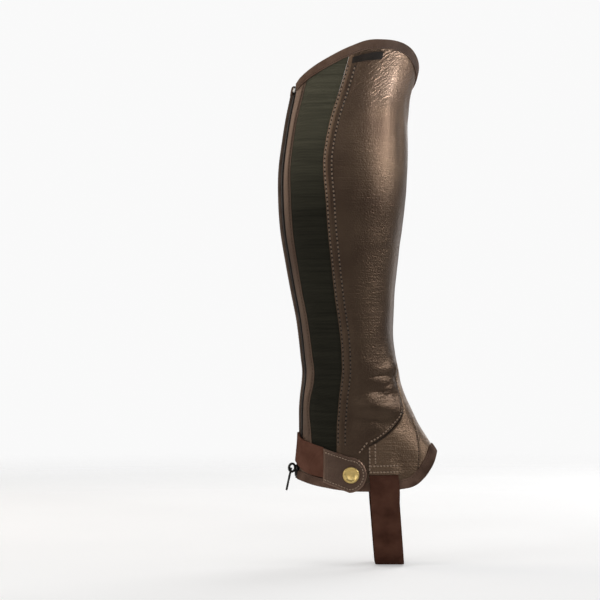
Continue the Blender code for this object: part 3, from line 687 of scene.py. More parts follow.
# The net's rows lie evenly between these levels, and its columns between the lines up the leg.
# The cells over the instep, below the seam, are left out.
UPRIGHT_LEVELS = [
    hem_level,
    seam_level,
    lambda angle: seam_level(angle) + 58,
    lambda angle: top_level(angle) - 34,
    top_level,
]
SHAFT_ROWS = [24, 104, 86, 16]
SHAFT_COLUMNS = [16, 6, 80, 42, 6]
shaft_lines = [
    shifted(elastic_front, SEAM_GAP / 2),
    shifted(elastic_front, FOLD_WIDE),
    middle_line,
    lambda height: 360 - middle_line(height),
    shifted(inner_zip_edge_round, -7.0),
    inner_zip_edge_round,
]
shaft_angles, shaft_heights = lattice(
    shaft_lines, spaced(SHAFT_COLUMNS), UPRIGHT_LEVELS, spaced(SHAFT_ROWS)
)
front_from = SHAFT_COLUMNS[0] + SHAFT_COLUMNS[1]
shaft_keep = np.ones((shaft_angles.shape[0] - 1, shaft_angles.shape[1] - 1), bool)
shaft_keep[: SHAFT_ROWS[0], front_from : front_from + SHAFT_COLUMNS[2]] = False
shaft = wall(
    "shaft_leather",
    surface(shaft_angles, shaft_heights, shaft_face(shaft_angles, shaft_heights)),
    surface(shaft_angles, shaft_heights, 0.0),
    [leather_face, leather_back],
    shaft_keep,
    shaft_edge_tone(shaft_angles, shaft_heights),
)
fit([shaft], "shaft_panel")

# The shaft's top stitching is thick thread: two beige rows along the elastic, and a lighter one
# along the diagonal of the gusset's seam. The needle leaves a small hole between stitches, and a
# dark dash there is painted shade inside the hole.
STITCH_PITCH = 4.3
SEAM_PITCH = 3.6


def thread_look(name, dark, light, low_down=1.0):
    """Twisted thread: two tones in fine slanted stripes, raised a little. Low down it keeps only
    a share of its lightness: painted shade, darker towards the bottom of the leg."""
    made, tree, shader = new_look(name, Roughness=0.7, Specular_IOR_Level=0.2)
    twist = add_node(
        tree,
        "ShaderNodeTexWave",
        {"Vector": own_place(tree), "Scale": 480.0, "Distortion": 1.5},
        bands_direction="DIAGONAL",
    ).outputs["Fac"]
    # Painted shade: the thread gets darker towards the bottom.
    shade_low_down = by_height(tree, -0.13, 0.01, low_down, 1.0)
    tone = scaled(tree, two_tones(tree, twist, dark, light), shade_low_down)
    drive(tree, shader, Base_Color=tone, Normal=raised(tree, twist, 0.5, 0.0002))
    return made


def places_along(angles, heights, face, pitch, start=0.5):
    """Equal steps along a line on the leather: middle points, the way along and the way out."""
    run = run_of(surface(angles, heights, face(angles, heights)), 0)
    at = np.arange(start * pitch, run[-1], pitch)

    def point(distance, lift):
        """The face's point at a distance along the line, lifted off it."""
        angle = np.interp(distance, run, angles)
        height = np.interp(distance, run, heights)
        return surface(angle, height, face(angle, height) + lift)

    middles = point(at, 0.0)
    along = point(at + 0.6, 0.0) - point(at - 0.6, 0.0)
    along /= np.linalg.norm(along, axis=-1, keepdims=True)
    out = outward(np.interp(at, run, angles), np.interp(at, run, heights))
    out -= np.sum(out * along, axis=-1, keepdims=True) * along
    out /= np.linalg.norm(out, axis=-1, keepdims=True)
    return middles, along, out


def beads(name, rows, look, half_long, half_wide, tall, sides=6, rings=4):
    """Many small rounded dashes in one mesh. Each has rings that swell from a point to full girth
    and back, and it arches: its ends sink in and its middle stands out."""
    middles, along, out = (np.concatenate(part) for part in zip(*rows))
    side = np.cross(along, out)
    place = np.cos(np.linspace(np.pi, 0, rings + 2)[1:-1])
    girth = np.sqrt(1 - place**2) ** 0.6
    turns = np.arange(sides) * 2 * np.pi / sides
    run = np.concatenate([[-1], np.repeat(place, sides), [1]]) * half_long
    across = np.concatenate([[0], np.outer(girth, np.cos(turns)).ravel(), [0]]) * half_wide
    lift = np.concatenate([[0], np.outer(girth, np.sin(turns)).ravel(), [0]]) * half_wide
    lift = lift + tall * (1 - (run / half_long) ** 2) - 0.35 * half_wide
    points = (
        middles[:, None]
        + run[None, :, None] * along[:, None]
        + across[None, :, None] * side[:, None]
        + lift[None, :, None] * out[:, None]
    )
    ring = 1 + np.arange(rings)[:, None] * sides + np.arange(sides)
    after = np.roll(ring, -1, axis=1)
    quads = np.stack([ring[:-1], ring[1:], after[1:], after[:-1]], -1).reshape(-1, 4)
    last = rings * sides + 1
    first_cap = np.stack([np.zeros(sides, int), ring[0], after[0]], -1)
    last_cap = np.stack([np.full(sides, last), after[-1], ring[-1]], -1)
    caps = np.concatenate([first_cap, last_cap])
    start = np.arange(len(middles))[:, None, None] * (last + 1)
    faces = (quads + start).reshape(-1, 4).tolist() + (caps + start).reshape(-1, 3).tolist()
    return finish_mesh(name, points.reshape(-1, 3), faces, [look])


def needle_holes(name, rows, half_long, half_wide, tall):
    """Painted shade of the holes between stitches: the same dashes with fewer rings, dark and sunk
    into the leather.
    """
    return beads(name, rows, hole_shade_look, half_long, half_wide, tall, rings=2)


thread = thread_look("beige_thread", (0.22, 0.145, 0.10), (0.50, 0.365, 0.262), 0.42)
light_thread = thread_look("light_thread", (0.25, 0.165, 0.115), (0.58, 0.425, 0.31))
# The near-black dashes are painted shade inside the needle holes.
hole_shade_look, _, _ = new_look("needle_hole", Base_Color=(0.012, 0.008, 0.006, 1), Roughness=0.9)

SEAM_STITCH_RISE = 2.75
SEAM_END_STITCH_RISE = 2.4
STITCHES_BELOW_TOP = 9.5
up_shaft = np.linspace(-261.0, 118.0, 500)
seam_angles = np.linspace(94.0, 147.0, 200)
seam_heights = seam_level(seam_angles) + SEAM_STITCH_RISE
end_angles = np.linspace(81.5, 90.5, 60)
end_heights = seam_end_level(end_angles) + SEAM_END_STITCH_RISE


def elastic_edge_rows(start):
    """The two rows along the elastic, of stitches or of the holes half a step on."""
    rows = []
    for inward in (EDGE_STITCH, SECOND_STITCH):
        line = shifted(elastic_front, inward)(up_shaft)
        below = up_shaft < top_level(line) - STITCHES_BELOW_TOP
        rows.append(places_along(line[below], up_shaft[below], shaft_face, STITCH_PITCH, start))
    return rows


def seam_rows(start):
    """The rows along the gusset's seam and its pressed end, on both sides of the leg."""
    lines = [(seam_angles, seam_heights), (end_angles, end_heights)]
    lines += [(360 - angles, heights) for angles, heights in lines]
    return [places_along(*line, shaft_face, SEAM_PITCH, start) for line in lines]


shaft_stitches = beads(
    "shaft_stitches", elastic_edge_rows(0.5), thread, half_long=1.3, half_wide=1.05, tall=0.25
)
seam_stitches = beads(
    "seam_stitches", seam_rows(0.5), light_thread, half_long=1.3, half_wide=0.75, tall=0.4
)
shaft_holes = needle_holes(
    "shaft_needle_holes", elastic_edge_rows(1.0), half_long=0.95, half_wide=1.1, tall=0.12
)
seam_holes = needle_holes(
    "seam_needle_holes", seam_rows(1.0), half_long=0.6, half_wide=0.6, tall=0.1
)
sewing = [shaft_stitches, seam_stitches, shaft_holes, seam_holes]
fit(sewing)

# The instep gusset is a second piece of the leather over the foot. Two pin tucks shape it, and
# an L-shaped box of stitches on each side holds the ends of the straps behind it.
GUSSET_REAR = np.array(
    [(-305, 83.5), (-289.5, 85.9), (-271, 89.2), (-260, 91.9), (-250, 92.5), (140, 92.5)],
    dtype=EDGE,
)
CORNER_STEP = 0.3
BOX_CORNER_RISE = 2.6
TUCK_GROOVE = 1.1
CORNER_EDGE = np.array(
    [
        (80, -289.5),
        (92, -289.5),
        (103, -289.5),
        (109, -289.4),
        (119, -286.3),
        (128, -280),
        (140, -271),
        (168, -257),
        (180, -256),
    ],
    dtype=LEVEL,
)
TUCK_LINE = np.array(
    [(-287, 127), (-271, 137), (-255, 148), (-243, 157), (-233, 162)], dtype=EDGE
)
outer_corner = edge_line(GUSSET_REAR)


def corner_level(angle):
    """The height at which the gusset's thick corners end and the hem's edge begins."""
    return smooth(from_back(angle), CORNER_EDGE["angle"], CORNER_EDGE["height"])


def gusset_top(angle):
    """The gusset's upper edge: a seam's gap below the seam, measured square to it."""
    slope = (seam_level(angle + 0.5) - seam_level(angle - 0.5)) / pace(angle, seam_level(angle))
    return seam_level(angle) - SEAM_GAP * np.sqrt(1 + slope**2)


def tuck_distance(angle, height):
    """Millimetres from the pin tuck's ridge, positive towards the front."""
    return (from_back(angle) - edge_line(TUCK_LINE)(height)) * pace(angle, height)


def gusset_face(angle, height):
    """The outer face's offset: thick corners over the strap ends, a ridge for each pin tuck with
    a groove behind it, and fine level waves where the foot bends, less the rounding at the seam."""
    around = from_back(angle)
    over_strap = (1 - ramp(around, 103, 116)) * (1 - ramp(height, -288, -262))
    over_strap = over_strap * (height > corner_level(angle))
    tuck = tuck_distance(angle, height)
    tucked = (1 - ramp(height, -238, -232)) * ramp(height - hem_level(angle), 2, 6)
    wrinkled = ramp(around, 104, 116) * (1 - ramp(height, -246, -232))
    ripples = np.sin(height * 2.5 + 1.1 * np.sin(angle * 0.13)) * (
        0.5 + 0.5 * np.sin(angle * 0.23 + height * 0.31)
    )
    below_seam = seam_distance(angle, height)
    return (
        LEATHER
        + BOX_CORNER_RISE * over_strap
        + relief(angle, height) * ramp(-below_seam, 1, 6)
        + tucked * (0.5 * bump(tuck - 0.3, 0.6) - 0.12 * bump(tuck + TUCK_GROOVE, 0.6))
        + 0.045 * wrinkled * ripples
        - 0.9 * bump(below_seam, 1.1)
    )


def gusset_edge_tone(angle, height):
    """How light the leather is: darker along the seam, painted shade at the seam."""
    return 1 - 0.75 * bump(seam_distance(angle, height), 0.9)


# Painted light: the gusset is the shaft's leather in lighter tones, for the light on its slope over
# the instep.
lit_gusset_leather = leather_look(
    "lit_gusset_leather", (0.140, 0.088, 0.055), (0.186, 0.122, 0.078), 0.44, 0.0011, edged=True
)
GUSSET_ROWS = [8, 2, 84]
gusset_angles, gusset_heights = lattice(
    [
        shifted(outer_corner, SEAM_GAP),
        lambda height: 360 - shifted(outer_corner, SEAM_GAP)(height),
    ],
    spaced([190]),
    [
        hem_level,
        lambda angle: corner_level(angle) - CORNER_STEP / 2,
        lambda angle: corner_level(angle) + CORNER_STEP / 2,
        gusset_top,
    ],
    spaced(GUSSET_ROWS),
)
gusset = wall(
    "instep_leather",
    surface(gusset_angles, gusset_heights, gusset_face(gusset_angles, gusset_heights)),
    surface(gusset_angles, gusset_heights, 0.0),
    [lit_gusset_leather, leather_back],
    edge=gusset_edge_tone(gusset_angles, gusset_heights),
)
fit([gusset], "instep_gusset")

# Lighter thread in the gusset: two upright rows and two level rows box in each strap end, and one
# row runs behind each pin tuck, where the needle holes show more than the thread. Upright rows
# give their place along the foot and their ends, level rows their height and their ends.
BOX_PITCH = 3.4
TUCK_PITCH = 4.2
BOX_UPRIGHTS = [(25.6, -262.0, -286.5), (31.2, -258.5, -279.0)]
BOX_LEVELS = [(-280.9, 25.0, 53.0), (-287.0, 25.0, 53.0)]


def angle_at(x, height):
    """The angle on the outer side at which the leather's inner face reaches x."""
    back = smooth(height, SECTION["height"], SECTION["back"])
    front = smooth(height, SECTION["height"], SECTION["front"])
    return np.degrees(np.arccos(np.clip((back + front - 2 * x) / (front - back), -1, 1)))


def box_rows(start):
    """The box stitches of both sides, in equal steps."""
    lines = []
    for x, high, low in BOX_UPRIGHTS:
        heights = np.linspace(high, low, 60)
        lines.append((angle_at(np.full(60, x), heights), heights))
    for height, rear, front in BOX_LEVELS:
        heights = np.full(60, height)
        lines.append((angle_at(np.linspace(rear, front, 60), heights), heights))
    both_sides = [(turn, heights) for angles, heights in lines for turn in (angles, 360 - angles)]
    return [places_along(*line, gusset_face, BOX_PITCH, start) for line in both_sides]


def tuck_rows(start):
    """The rows in the groove behind each pin tuck."""
    heights = np.linspace(-236, -284, 90)
    angles = shifted(edge_line(TUCK_LINE), -TUCK_GROOVE)(heights)
    both_sides = [(angles, heights), (360 - angles, heights)]
    return [places_along(*line, gusset_face, TUCK_PITCH, start) for line in both_sides]


box_stitches = beads(
    "gusset_stitches", box_rows(0.5), light_thread, half_long=1.55, half_wide=0.82, tall=0.38
)
box_holes = needle_holes(
    "gusset_needle_holes", box_rows(1.0), half_long=0.6, half_wide=0.65, tall=0.0
)
tuck_thread = thread_look("tuck_thread", (0.12, 0.078, 0.055), (0.26, 0.18, 0.13))
tuck_stitches = beads(
    "tuck_stitches", tuck_rows(0.5), tuck_thread, half_long=1.4, half_wide=0.5, tall=0.2
)
tuck_holes = needle_holes(
    "tuck_needle_holes", tuck_rows(1.0), half_long=0.75, half_wide=0.85, tall=0.1
)
sewing = [box_stitches, box_holes, tuck_stitches, tuck_holes]
fit(sewing)

# The elastic panel is a woven, finely ribbed strip that stretches round the calf. Its edges are
# sewn behind the leather on both sides, and it puckers where the ankle bends.
ELASTIC_REAR = np.array(
    [
        (-300, 35.0),
        (-252, 33.0),
        (-218, 32.0),
        (-198, 37.0),
        (-168, 37.5),
        (-117, 35.5),
        (-66, 35.0),
        (-15, 35.0),
        (29, 33.0),
        (61, 33.5),
        (110, 38.0),
    ],
    dtype=EDGE,
)
ELASTIC_INSIDE = 0.2
ELASTIC_OUTSIDE = 1.4
ELASTIC_CREASES = np.array(
    [
        (52, 70.0, 40, 1.6, 0.02, -0.2),
        (56, 31.0, 40, 1.5, 0.03, -0.2),
        (54, -26.0, 40, 1.6, -0.02, 0.2),
        (56, -86.0, 40, 1.3, 0.00, 0.4),
        (56, -89.0, 40, 1.6, 0.00, -0.3),
        (44, -140.0, 14, 1.2, 0.0, 0.5),
        (56, -154.0, 30, 1.2, 0.02, 0.35),
        (45, -165.0, 12, 1.2, 0.0, 0.4),
        (58, -179.0, 40, 2.0, -0.05, 0.3),
        (50, -197.0, 34, 2.2, -0.06, -0.9),
        (52, -205.0, 34, 3.4, -0.10, 0.5),
        (54, -211.0, 34, 1.6, -0.14, -0.5),
        (54, -215.0, 36, 1.5, -0.18, 0.8),
        (54, -219.5, 36, 2.2, -0.18, -0.4),
    ],
    dtype=FOLD,
)
elastic_rear = edge_line(ELASTIC_REAR)


def elastic_face(angle, height):
    """The outer face's offset: it rises softly from both sewn edges, with level puckers."""
    rear = (angle - elastic_rear(height)) * pace(angle, height)
    front = (elastic_front(height) - angle) * pace(angle, height)
    free = ramp(np.minimum(rear, front), 0, 3.5)
    return ELASTIC_OUTSIDE - 0.5 + free * (0.5 + 2.0 * rise_of(ELASTIC_CREASES, angle, height))


def waves(tree, place, pitch, direction):
    """Even waves one pitch apart. A wave texture of scale 1 has one wave in 0.314 metres."""
    return add_node(
        tree,
        "ShaderNodeTexWave",
        {"Vector": place, "Scale": 0.314 / pitch, "Distortion": 0.4, "Detail": 1.0},
        bands_direction=direction,
    ).outputs["Fac"]


def reckoned(tree, operation, *values):
    """One sum on numbers of a shader, such as a times b, or a times b plus c."""
    return add_node(
        tree, "ShaderNodeMath", dict(enumerate(values)), operation=operation
    ).outputs["Value"]


def woven_look(name, dark, light, rib_pitch, thread_pitch, streaks=(60.0, 60.0, 60.0), light_by_height=None):
    """Narrow weave: ribs across the cloth and finer threads along it, from the piece's own UV
    map, with a slow drift of tone, which may be drawn out in streaks. Given two heights and two
    shares, the cloth's lightness goes from one share to the other between them: painted light."""
    made, tree, shader = new_look(name, Roughness=0.9, Specular_IOR_Level=0.12)
    cloth_place = add_node(tree, "ShaderNodeUVMap", uv_map="cloth").outputs["UV"]
    ribs = waves(tree, cloth_place, rib_pitch, "Y")
    threads = waves(tree, cloth_place, thread_pitch, "X")
    drift = noise(tree, drawn_out(tree, own_place(tree), streaks), 1.0, 5.0)
    crossings = reckoned(tree, "MULTIPLY", ribs, threads)
    mixed = reckoned(tree, "MULTIPLY_ADD", crossings, 0.45, drift)
    tone = two_tones(tree, mixed, dark, light, 0.35, 1.0)
    # Painted light: the tone is scaled by a share that changes with height.
    if light_by_height:
        tone = scaled(tree, tone, by_height(tree, *light_by_height))
    weave = reckoned(tree, "MULTIPLY_ADD", threads, 0.4, ribs)
    drive(tree, shader, Base_Color=tone, Normal=raised(tree, weave, 0.6, 0.0003))
    return made


# Painted light: the elastic's tone grows to 4.6 times as light near the top as low down.
elastic_look = woven_look(
    "ribbed_elastic",
    (0.0170, 0.0158, 0.0108),
    (0.0370, 0.0345, 0.0235),
    rib_pitch=0.0016,
    thread_pitch=0.0009,
    streaks=(14.0, 14.0, 380.0),
    light_by_height=(-0.03, 0.09, 1.0, 4.6),
)
elastic_angles, elastic_heights = lattice(
    [shifted(elastic_rear, SEAM_GAP / 2), shifted(elastic_front, -SEAM_GAP / 2)],
    spaced([26]),
    UPRIGHT_LEVELS,
    spaced([30, 60, 120, 20]),
)
elastic = wall(
    "side_elastic",
    surface(elastic_angles, elastic_heights, elastic_face(elastic_angles, elastic_heights)),
    surface(elastic_angles, elastic_heights, ELASTIC_INSIDE),
    [elastic_look],
)
fit([elastic], "elastic_panel")

# The zip strip is a narrow strip of the leather between the zip and the elastic, with both of
# its long edges folded and one row of matching thread along the elastic.
STRIP_STITCH = 1.8
STRIP_PITCH = 3.6
outer_zip_edge = shifted(zip_line, ZIP_HALF_GAP)


def strip_face(angle, height):
    """The outer face's offset: it rises softly from both folded edges, which are rounded off,
    and the stitches pull in a groove."""
    rear = (angle - outer_zip_edge(height)) * pace(angle, height)
    front = (elastic_rear(height) - angle) * pace(angle, height)
    near = np.minimum(rear, front)
    return (
        LEATHER
        + 0.5 * relief(angle, height)
        + 0.35 * ramp(near, 0.5, 3.0)
        - 0.7 * bump(near, 0.7)
        - 0.3 * bump(front - STRIP_STITCH, 0.7)
    )


# Painted light: the strip is the shaft's leather in lighter tones, for the light it catches facing
# back.
lit_strip_leather = leather_look("lit_strip_leather", (0.142, 0.089, 0.062), (0.187, 0.124, 0.087), 0.43)
strip_angles, strip_heights = lattice(
    [outer_zip_edge, shifted(elastic_rear, -SEAM_GAP / 2)],
    spaced([18]),
    UPRIGHT_LEVELS,
    spaced([20, 46, 90, 16]),
)
strip = wall(
    "zip_strip_leather",
    surface(strip_angles, strip_heights, strip_face(strip_angles, strip_heights)),
    surface(strip_angles, strip_heights, 0.0),
    [lit_strip_leather, leather_back],
)
strip_line = shifted(elastic_rear, -STRIP_STITCH)
up_strip = np.linspace(-250.0, 98.0, 300)
dark_thread = thread_look("brown_thread", (0.04, 0.025, 0.018), (0.12, 0.08, 0.06))
strip_stitches = beads(
    "zip_strip_stitches",
    [places_along(strip_line(up_strip), up_strip, strip_face, STRIP_PITCH)],
    dark_thread,
    half_long=1.3,
    half_wide=0.35,
    tall=0.2,
)
fit([strip, strip_stitches], "zip_strip")

# The zip is a woven tape with a closed nylon coil standing along its middle: two rows of small
# rounded loops that lock into each other.
TAPE_INSIDE = 0.2
TAPE_OUTSIDE = 1.0
COIL_TOP = 90.0
COIL_END = -279.0
COIL_PITCH = 1.6
COIL_SIDE = 0.95
COIL_RISE = 0.35
tape_look = woven_look(
    "zip_tape_weave",
    (0.008, 0.007, 0.006),
    (0.035, 0.030, 0.027),
    rib_pitch=0.0008,
    thread_pitch=0.0006,
)
tape_angles, tape_heights = lattice(
    [shifted(zip_line, SEAM_GAP - ZIP_HALF_GAP), shifted(zip_line, ZIP_HALF_GAP - SEAM_GAP)],
    spaced([8]),
    UPRIGHT_LEVELS,
    spaced([10, 20, 50, 8]),
)
tape = wall(
    "zip_tape_cloth",
    surface(tape_angles, tape_heights, TAPE_OUTSIDE),
    surface(tape_angles, tape_heights, TAPE_INSIDE),
    [tape_look],
)
coil_look, coil_tree, coil_shader = new_look("nylon_coil", Roughness=0.3, Coat_Weight=0.3)
coil_grain = noise(coil_tree, own_place(coil_tree), 1400.0, 2.0)
coil_tone = two_tones(coil_tree, coil_grain, (0.018, 0.014, 0.012), (0.06, 0.048, 0.040))
drive(coil_tree, coil_shader, Base_Color=coil_tone)


def coil_row(side, first):
    """One side's loops, a pitch apart: each lies across the tape, from beside its middle line
    to just past it. Gives middle points, the way across and the way out."""
    heights = np.arange(first, COIL_TOP, COIL_PITCH)
    angles = shifted(zip_line, side * COIL_SIDE)(heights)
    out = outward(angles, heights)
    across = surface(angles + 1, heights, 0.0) - surface(angles - 1, heights, 0.0)
    across /= np.linalg.norm(across, axis=-1, keepdims=True)
    return surface(angles, heights, TAPE_OUTSIDE + COIL_RISE), across, out


coil = beads(
    "zip_coil",
    [coil_row(-1, COIL_END), coil_row(1, COIL_END + COIL_PITCH / 2)],
    coil_look,
    half_long=1.45,
    half_wide=0.52,
    tall=0.45,
)
fit([tape, coil], "zip_tape")

# Folded brown tapes finish the edges: one along the zip's inner side, one round the hem and one
# round the top. Each is a ribbed woven tape bent over the leather and sewn through both leaves.
LAYER_GAP = 0.4
BINDING_THICK = 0.9
TOP_BINDING_WIDE = 8.2
HEM_BINDING_WIDE = 7.7
ZIP_BINDING_WIDE = 4.6
BINDING_FAR = LEATHER + LAYER_GAP + BINDING_THICK
BINDING_STITCH = 1.5


def tape_steps(angles, heights, inward):
    """How far an edge's angle and height change for each millimetre square into the leather: the
    way along the edge, made one millimetre long and turned a quarter round."""
    along_angle = np.gradient(angles) * pace(angles, heights)
    along_height = np.gradient(heights)
    length = np.hypot(along_angle, along_height)
    step_angle = -inward * along_height / length / pace(angles, heights)
    return step_angle, inward * along_angle / length


def leaf_lift(place, wide):
    """The outer leaf's crown, half a sine wave made fuller, less a groove along its stitches."""
    crown = 0.28 * np.sin(np.pi * np.clip(place / wide, 0, 1)) ** 0.7
    return crown - 0.22 * bump(place - (wide - BINDING_STITCH), 0.55)


def binding(name, angles, heights, inward, wide, look):
    """A tape's section carried along an edge: an inner leaf, a round turn and an outer leaf. Each
    point of the section is so far into the leather and so far out of its inner face. inward is
    1 or -1, for the side of the edge on which the leather lies."""
    step_angle, step_height = tape_steps(angles, heights, inward)
    inner_leaf = -LAYER_GAP - BINDING_THICK
    turns = np.radians(np.linspace(-90, 90, 9))
    leaf = np.linspace(0.6, wide, 9)
    middle = (BINDING_FAR + inner_leaf) / 2
    half = (BINDING_FAR - inner_leaf) / 2
    skin_across = np.concatenate([leaf[::-1], -1.25 * np.cos(turns), leaf])
    skin_out = np.concatenate(
        [np.full(9, inner_leaf), middle + half * np.sin(turns), BINDING_FAR + leaf_lift(leaf, wide)]
    )
    skin_out[-1] -= 0.3
    lining_across = np.concatenate([leaf[::-1], -LAYER_GAP * np.cos(turns), leaf])
    lining_turn = middle + (half - BINDING_THICK) * np.sin(turns)
    lining_out = np.concatenate(
        [np.full(9, -LAYER_GAP), lining_turn, np.full(9, LEATHER + LAYER_GAP)]
    )

    def swept(across, offsets):
        """The section's points at every place along the edge."""
        return surface(
            angles + across[:, None] * step_angle,
            heights + across[:, None] * step_height,
            np.broadcast_to(offsets[:, None], (len(offsets), len(angles))),
        )

    outer, inner = swept(skin_across, skin_out), swept(lining_across, lining_out)
    if inward < 0:
        outer, inner = outer[::-1], inner[::-1]
    return wall(name, outer, inner, [look])


def binding_stitches(name, angles, heights, inward, wide, pitch):
    """One row of stitches near the outer leaf's raw edge, each 0.72 of the pitch long."""
    step_angle, step_height = tape_steps(angles, heights, inward)
    place = wide - BINDING_STITCH
    offset = BINDING_FAR + leaf_lift(place, wide) - 0.05

    def face(angle, height):
        """The outer leaf's offset where the row of stitches lies."""
        return np.full(np.shape(angle), offset)

    row = places_along(angles + place * step_angle, heights + place * step_height, face, pitch)
    return beads(name, [row], tape_thread, half_long=pitch * 0.36, half_wide=0.3, tall=0.22)


def ribbed_tape(name, dark, light):
    """The brown woven tape, whose ribs are 1.1 mm apart."""
    return woven_look(name, dark, light, rib_pitch=0.0011, thread_pitch=0.0009)


tape_thread = thread_look("tape_thread", (0.05, 0.03, 0.022), (0.13, 0.085, 0.062))
# One brown tape in three tones, each set to the light on its edge: painted light and shade.
hem_tape = ribbed_tape("hem_tape", (0.076, 0.042, 0.029), (0.290, 0.178, 0.128))
top_tape = ribbed_tape("top_tape", (0.140, 0.079, 0.053), (0.310, 0.197, 0.140))
zip_edge_tape = ribbed_tape("zip_edge_tape", (0.08, 0.053, 0.040), (0.22, 0.155, 0.120))

zip_edge_heights = np.linspace(
    hem_level(0.0) + HEM_BINDING_WIDE + SEAM_GAP,
    top_level(361.0) - TOP_BINDING_WIDE - SEAM_GAP,
    180,
)
zip_edge = (inner_zip_edge_round(zip_edge_heights), zip_edge_heights, 1, ZIP_BINDING_WIDE)
zip_binding = binding("zip_edge_binding", *zip_edge, zip_edge_tape)
zip_binding_stitches = binding_stitches("zip_edge_stitches", *zip_edge, 3.0)
fit([zip_binding, zip_binding_stitches], "zip_binding")

hem_angles = np.linspace(outer_zip_edge(-295.0), inner_zip_edge_round(-295.0), 300)
hem = (hem_angles, hem_level(hem_angles), 1, HEM_BINDING_WIDE)
hem_binding = binding("hem_edge_binding", *hem, hem_tape)
hem_stitches = binding_stitches("hem_edge_stitches", *hem, 3.0)
fit([hem_binding, hem_stitches], "hem_binding")

top_angles = np.linspace(outer_zip_edge(101.0), inner_zip_edge_round(98.0), 360)
top = (top_angles, top_level(top_angles), -1, TOP_BINDING_WIDE)
top_binding = binding("top_edge_binding", *top, top_tape)
top_stitches = binding_stitches("top_edge_stitches", *top, 2.6)
fit([top_binding, top_stitches], "top_binding")

# The ankle strap is 30 mm woven elastic. It is sewn into the gusset's inner corner, runs round
# the back over the zip, and ends between the two layers of the snap tab.
STRAP_THICK = 1.8
STRAP_OFFSET = LEATHER + LAYER_GAP
STRAP_OVER_BINDING = BINDING_FAR + LAYER_GAP
STRAP_TOP = np.array(
    [(-92, -260), (-40, -254), (-15, -249.5), (0, -248.5), (20, -255), (35, -258.5), (57, -264)],
    dtype=LEVEL,
)
STRAP_BOTTOM = np.array(
    [(-92, -289.5), (-40, -284), (-12, -280), (6, -278.3), (17, -282), (26, -286.5), (57, -293.8)],
    dtype=LEVEL,
)
TAB_REAR = -18.5


def edge_at(table):
    """A level round the leg: its height at any angle, smooth through the table's rows."""
    return lambda angle: smooth(angle, table["angle"], table["height"])


def strap_weave(name, dark, light):
    """The brown elastic, whose ribs are 1.2 mm apart."""
    return woven_look(name, dark, light, rib_pitch=0.0012, thread_pitch=0.0010)


strap_look = strap_weave("strap_elastic", (0.098, 0.037, 0.022), (0.225, 0.104, 0.070))
strap_angles, strap_heights = lattice(
    [
        lambda height: -outer_corner(height),
        lambda height: angle_at(TAB_REAR - SEAM_GAP, height),
    ],
    spaced([110]),
    [edge_at(STRAP_BOTTOM), edge_at(STRAP_TOP)],
    spaced([24]),
)
over_zip = ramp(strap_angles, -14, -3) * (1 - ramp(strap_angles, 17, 31))
strap_offset = STRAP_OFFSET + (STRAP_OVER_BINDING - STRAP_OFFSET) * over_zip
STRAP_WIDE = 30
across_strap = np.linspace(0, STRAP_WIDE, 25)
from_edge = np.minimum(across_strap, STRAP_WIDE - across_strap)[:, None]
strap_crown = 0.25 * ramp(from_edge, 0, 1.5) + 0.12 * np.sin(strap_angles * 0.35)
ankle_strap = wall(
    "ankle_strap_elastic",
    surface(strap_angles, strap_heights, strap_offset + STRAP_THICK - 0.3 + strap_crown),
    surface(strap_angles, strap_heights, strap_offset),
    [strap_look],
)
fit([ankle_strap], "ankle_strap")

# The snap tab is leather on both faces with the strap's end between them. Its edge is stitched
# all round, its front end is round, and a snap holds it to the chap.
TAB_THICK = 2.8
TAB_LOW_SIDE_LIFT = 1.5
TAB = np.array(
    [(TAB_REAR, -280.0, 16.8), (-8, -284.0, 17.2), (0, -287.1, 17.5), (6, -289.4, 17.6)],
    dtype=[("x", float), ("middle", float), ("half", float)],
)
TAB_END = TAB[-1]
TAB_END_LONG = 16.5
TAB_STITCH = 3.3
TAB_PITCH = 3.0
SNAP_ANGLE = 72.2
SNAP_HEIGHT = -289.4
end_steps = np.radians(np.linspace(3, 87, 26))
side_x = np.linspace(TAB_REAR, TAB_END["x"], 34)
side_middle = smooth(side_x, TAB["x"], TAB["middle"])
side_half = smooth(side_x, TAB["x"], TAB["half"])
tab_x = np.concatenate([side_x, TAB_END["x"] + TAB_END_LONG * np.sin(end_steps)])
tab_middle = np.concatenate([side_middle, np.full(26, TAB_END["middle"])])
tab_half = np.concatenate([side_half, TAB_END["half"] * np.cos(end_steps)])
tab_rows = np.sin(np.linspace(-np.pi / 2, np.pi / 2, 37))[:, None]
tab_heights = tab_middle + tab_rows * tab_half
tab_angles = angle_at(tab_x, tab_heights)


def tab_inside_at(height):
    """The inner face's offset: the strap's, and more low down, where the hem binding lifts it."""
    return STRAP_OFFSET + TAB_LOW_SIDE_LIFT * ramp(-height, 276, 298)


def tab_edge_distance(x, height):
    """Millimetres in from the tab's outline: from its straight sides, or its round end."""
    on_sides = np.minimum(x, TAB_END["x"])
    middle = smooth(on_sides, TAB["x"], TAB["middle"])
    half = smooth(on_sides, TAB["x"], TAB["half"])
    straight = np.minimum(half - np.abs(height - middle), x - TAB_REAR)
    past_end = (x - TAB_END["x"]) * half / TAB_END_LONG
    return np.where(x < TAB_END["x"], straight, half - np.hypot(past_end, height - middle))


snap_x = leg(SNAP_ANGLE, SNAP_HEIGHT)[0]


def tab_face_offset(angle, height):
    """The outer face's offset, less the rounding of its rim, a groove along the stitches, a small
    step inside them and a ring pressed in round the snap."""
    x = leg(angle, height)[..., 0]
    inward = tab_edge_distance(x, height)
    from_snap = np.hypot(x - snap_x, height - SNAP_HEIGHT)
    return (
        tab_inside_at(height)
        + TAB_THICK
        - 0.9 * bump(inward, 0.8)
        - 0.3 * bump(inward - TAB_STITCH, 0.7)
        - 0.25 * ramp(inward, TAB_STITCH + 1.0, TAB_STITCH + 2.4)
        - 0.35 * bump(from_snap - 8.5, 1.6)
        + 0.08 * unevenness(angle * 2, height * 2)
    )


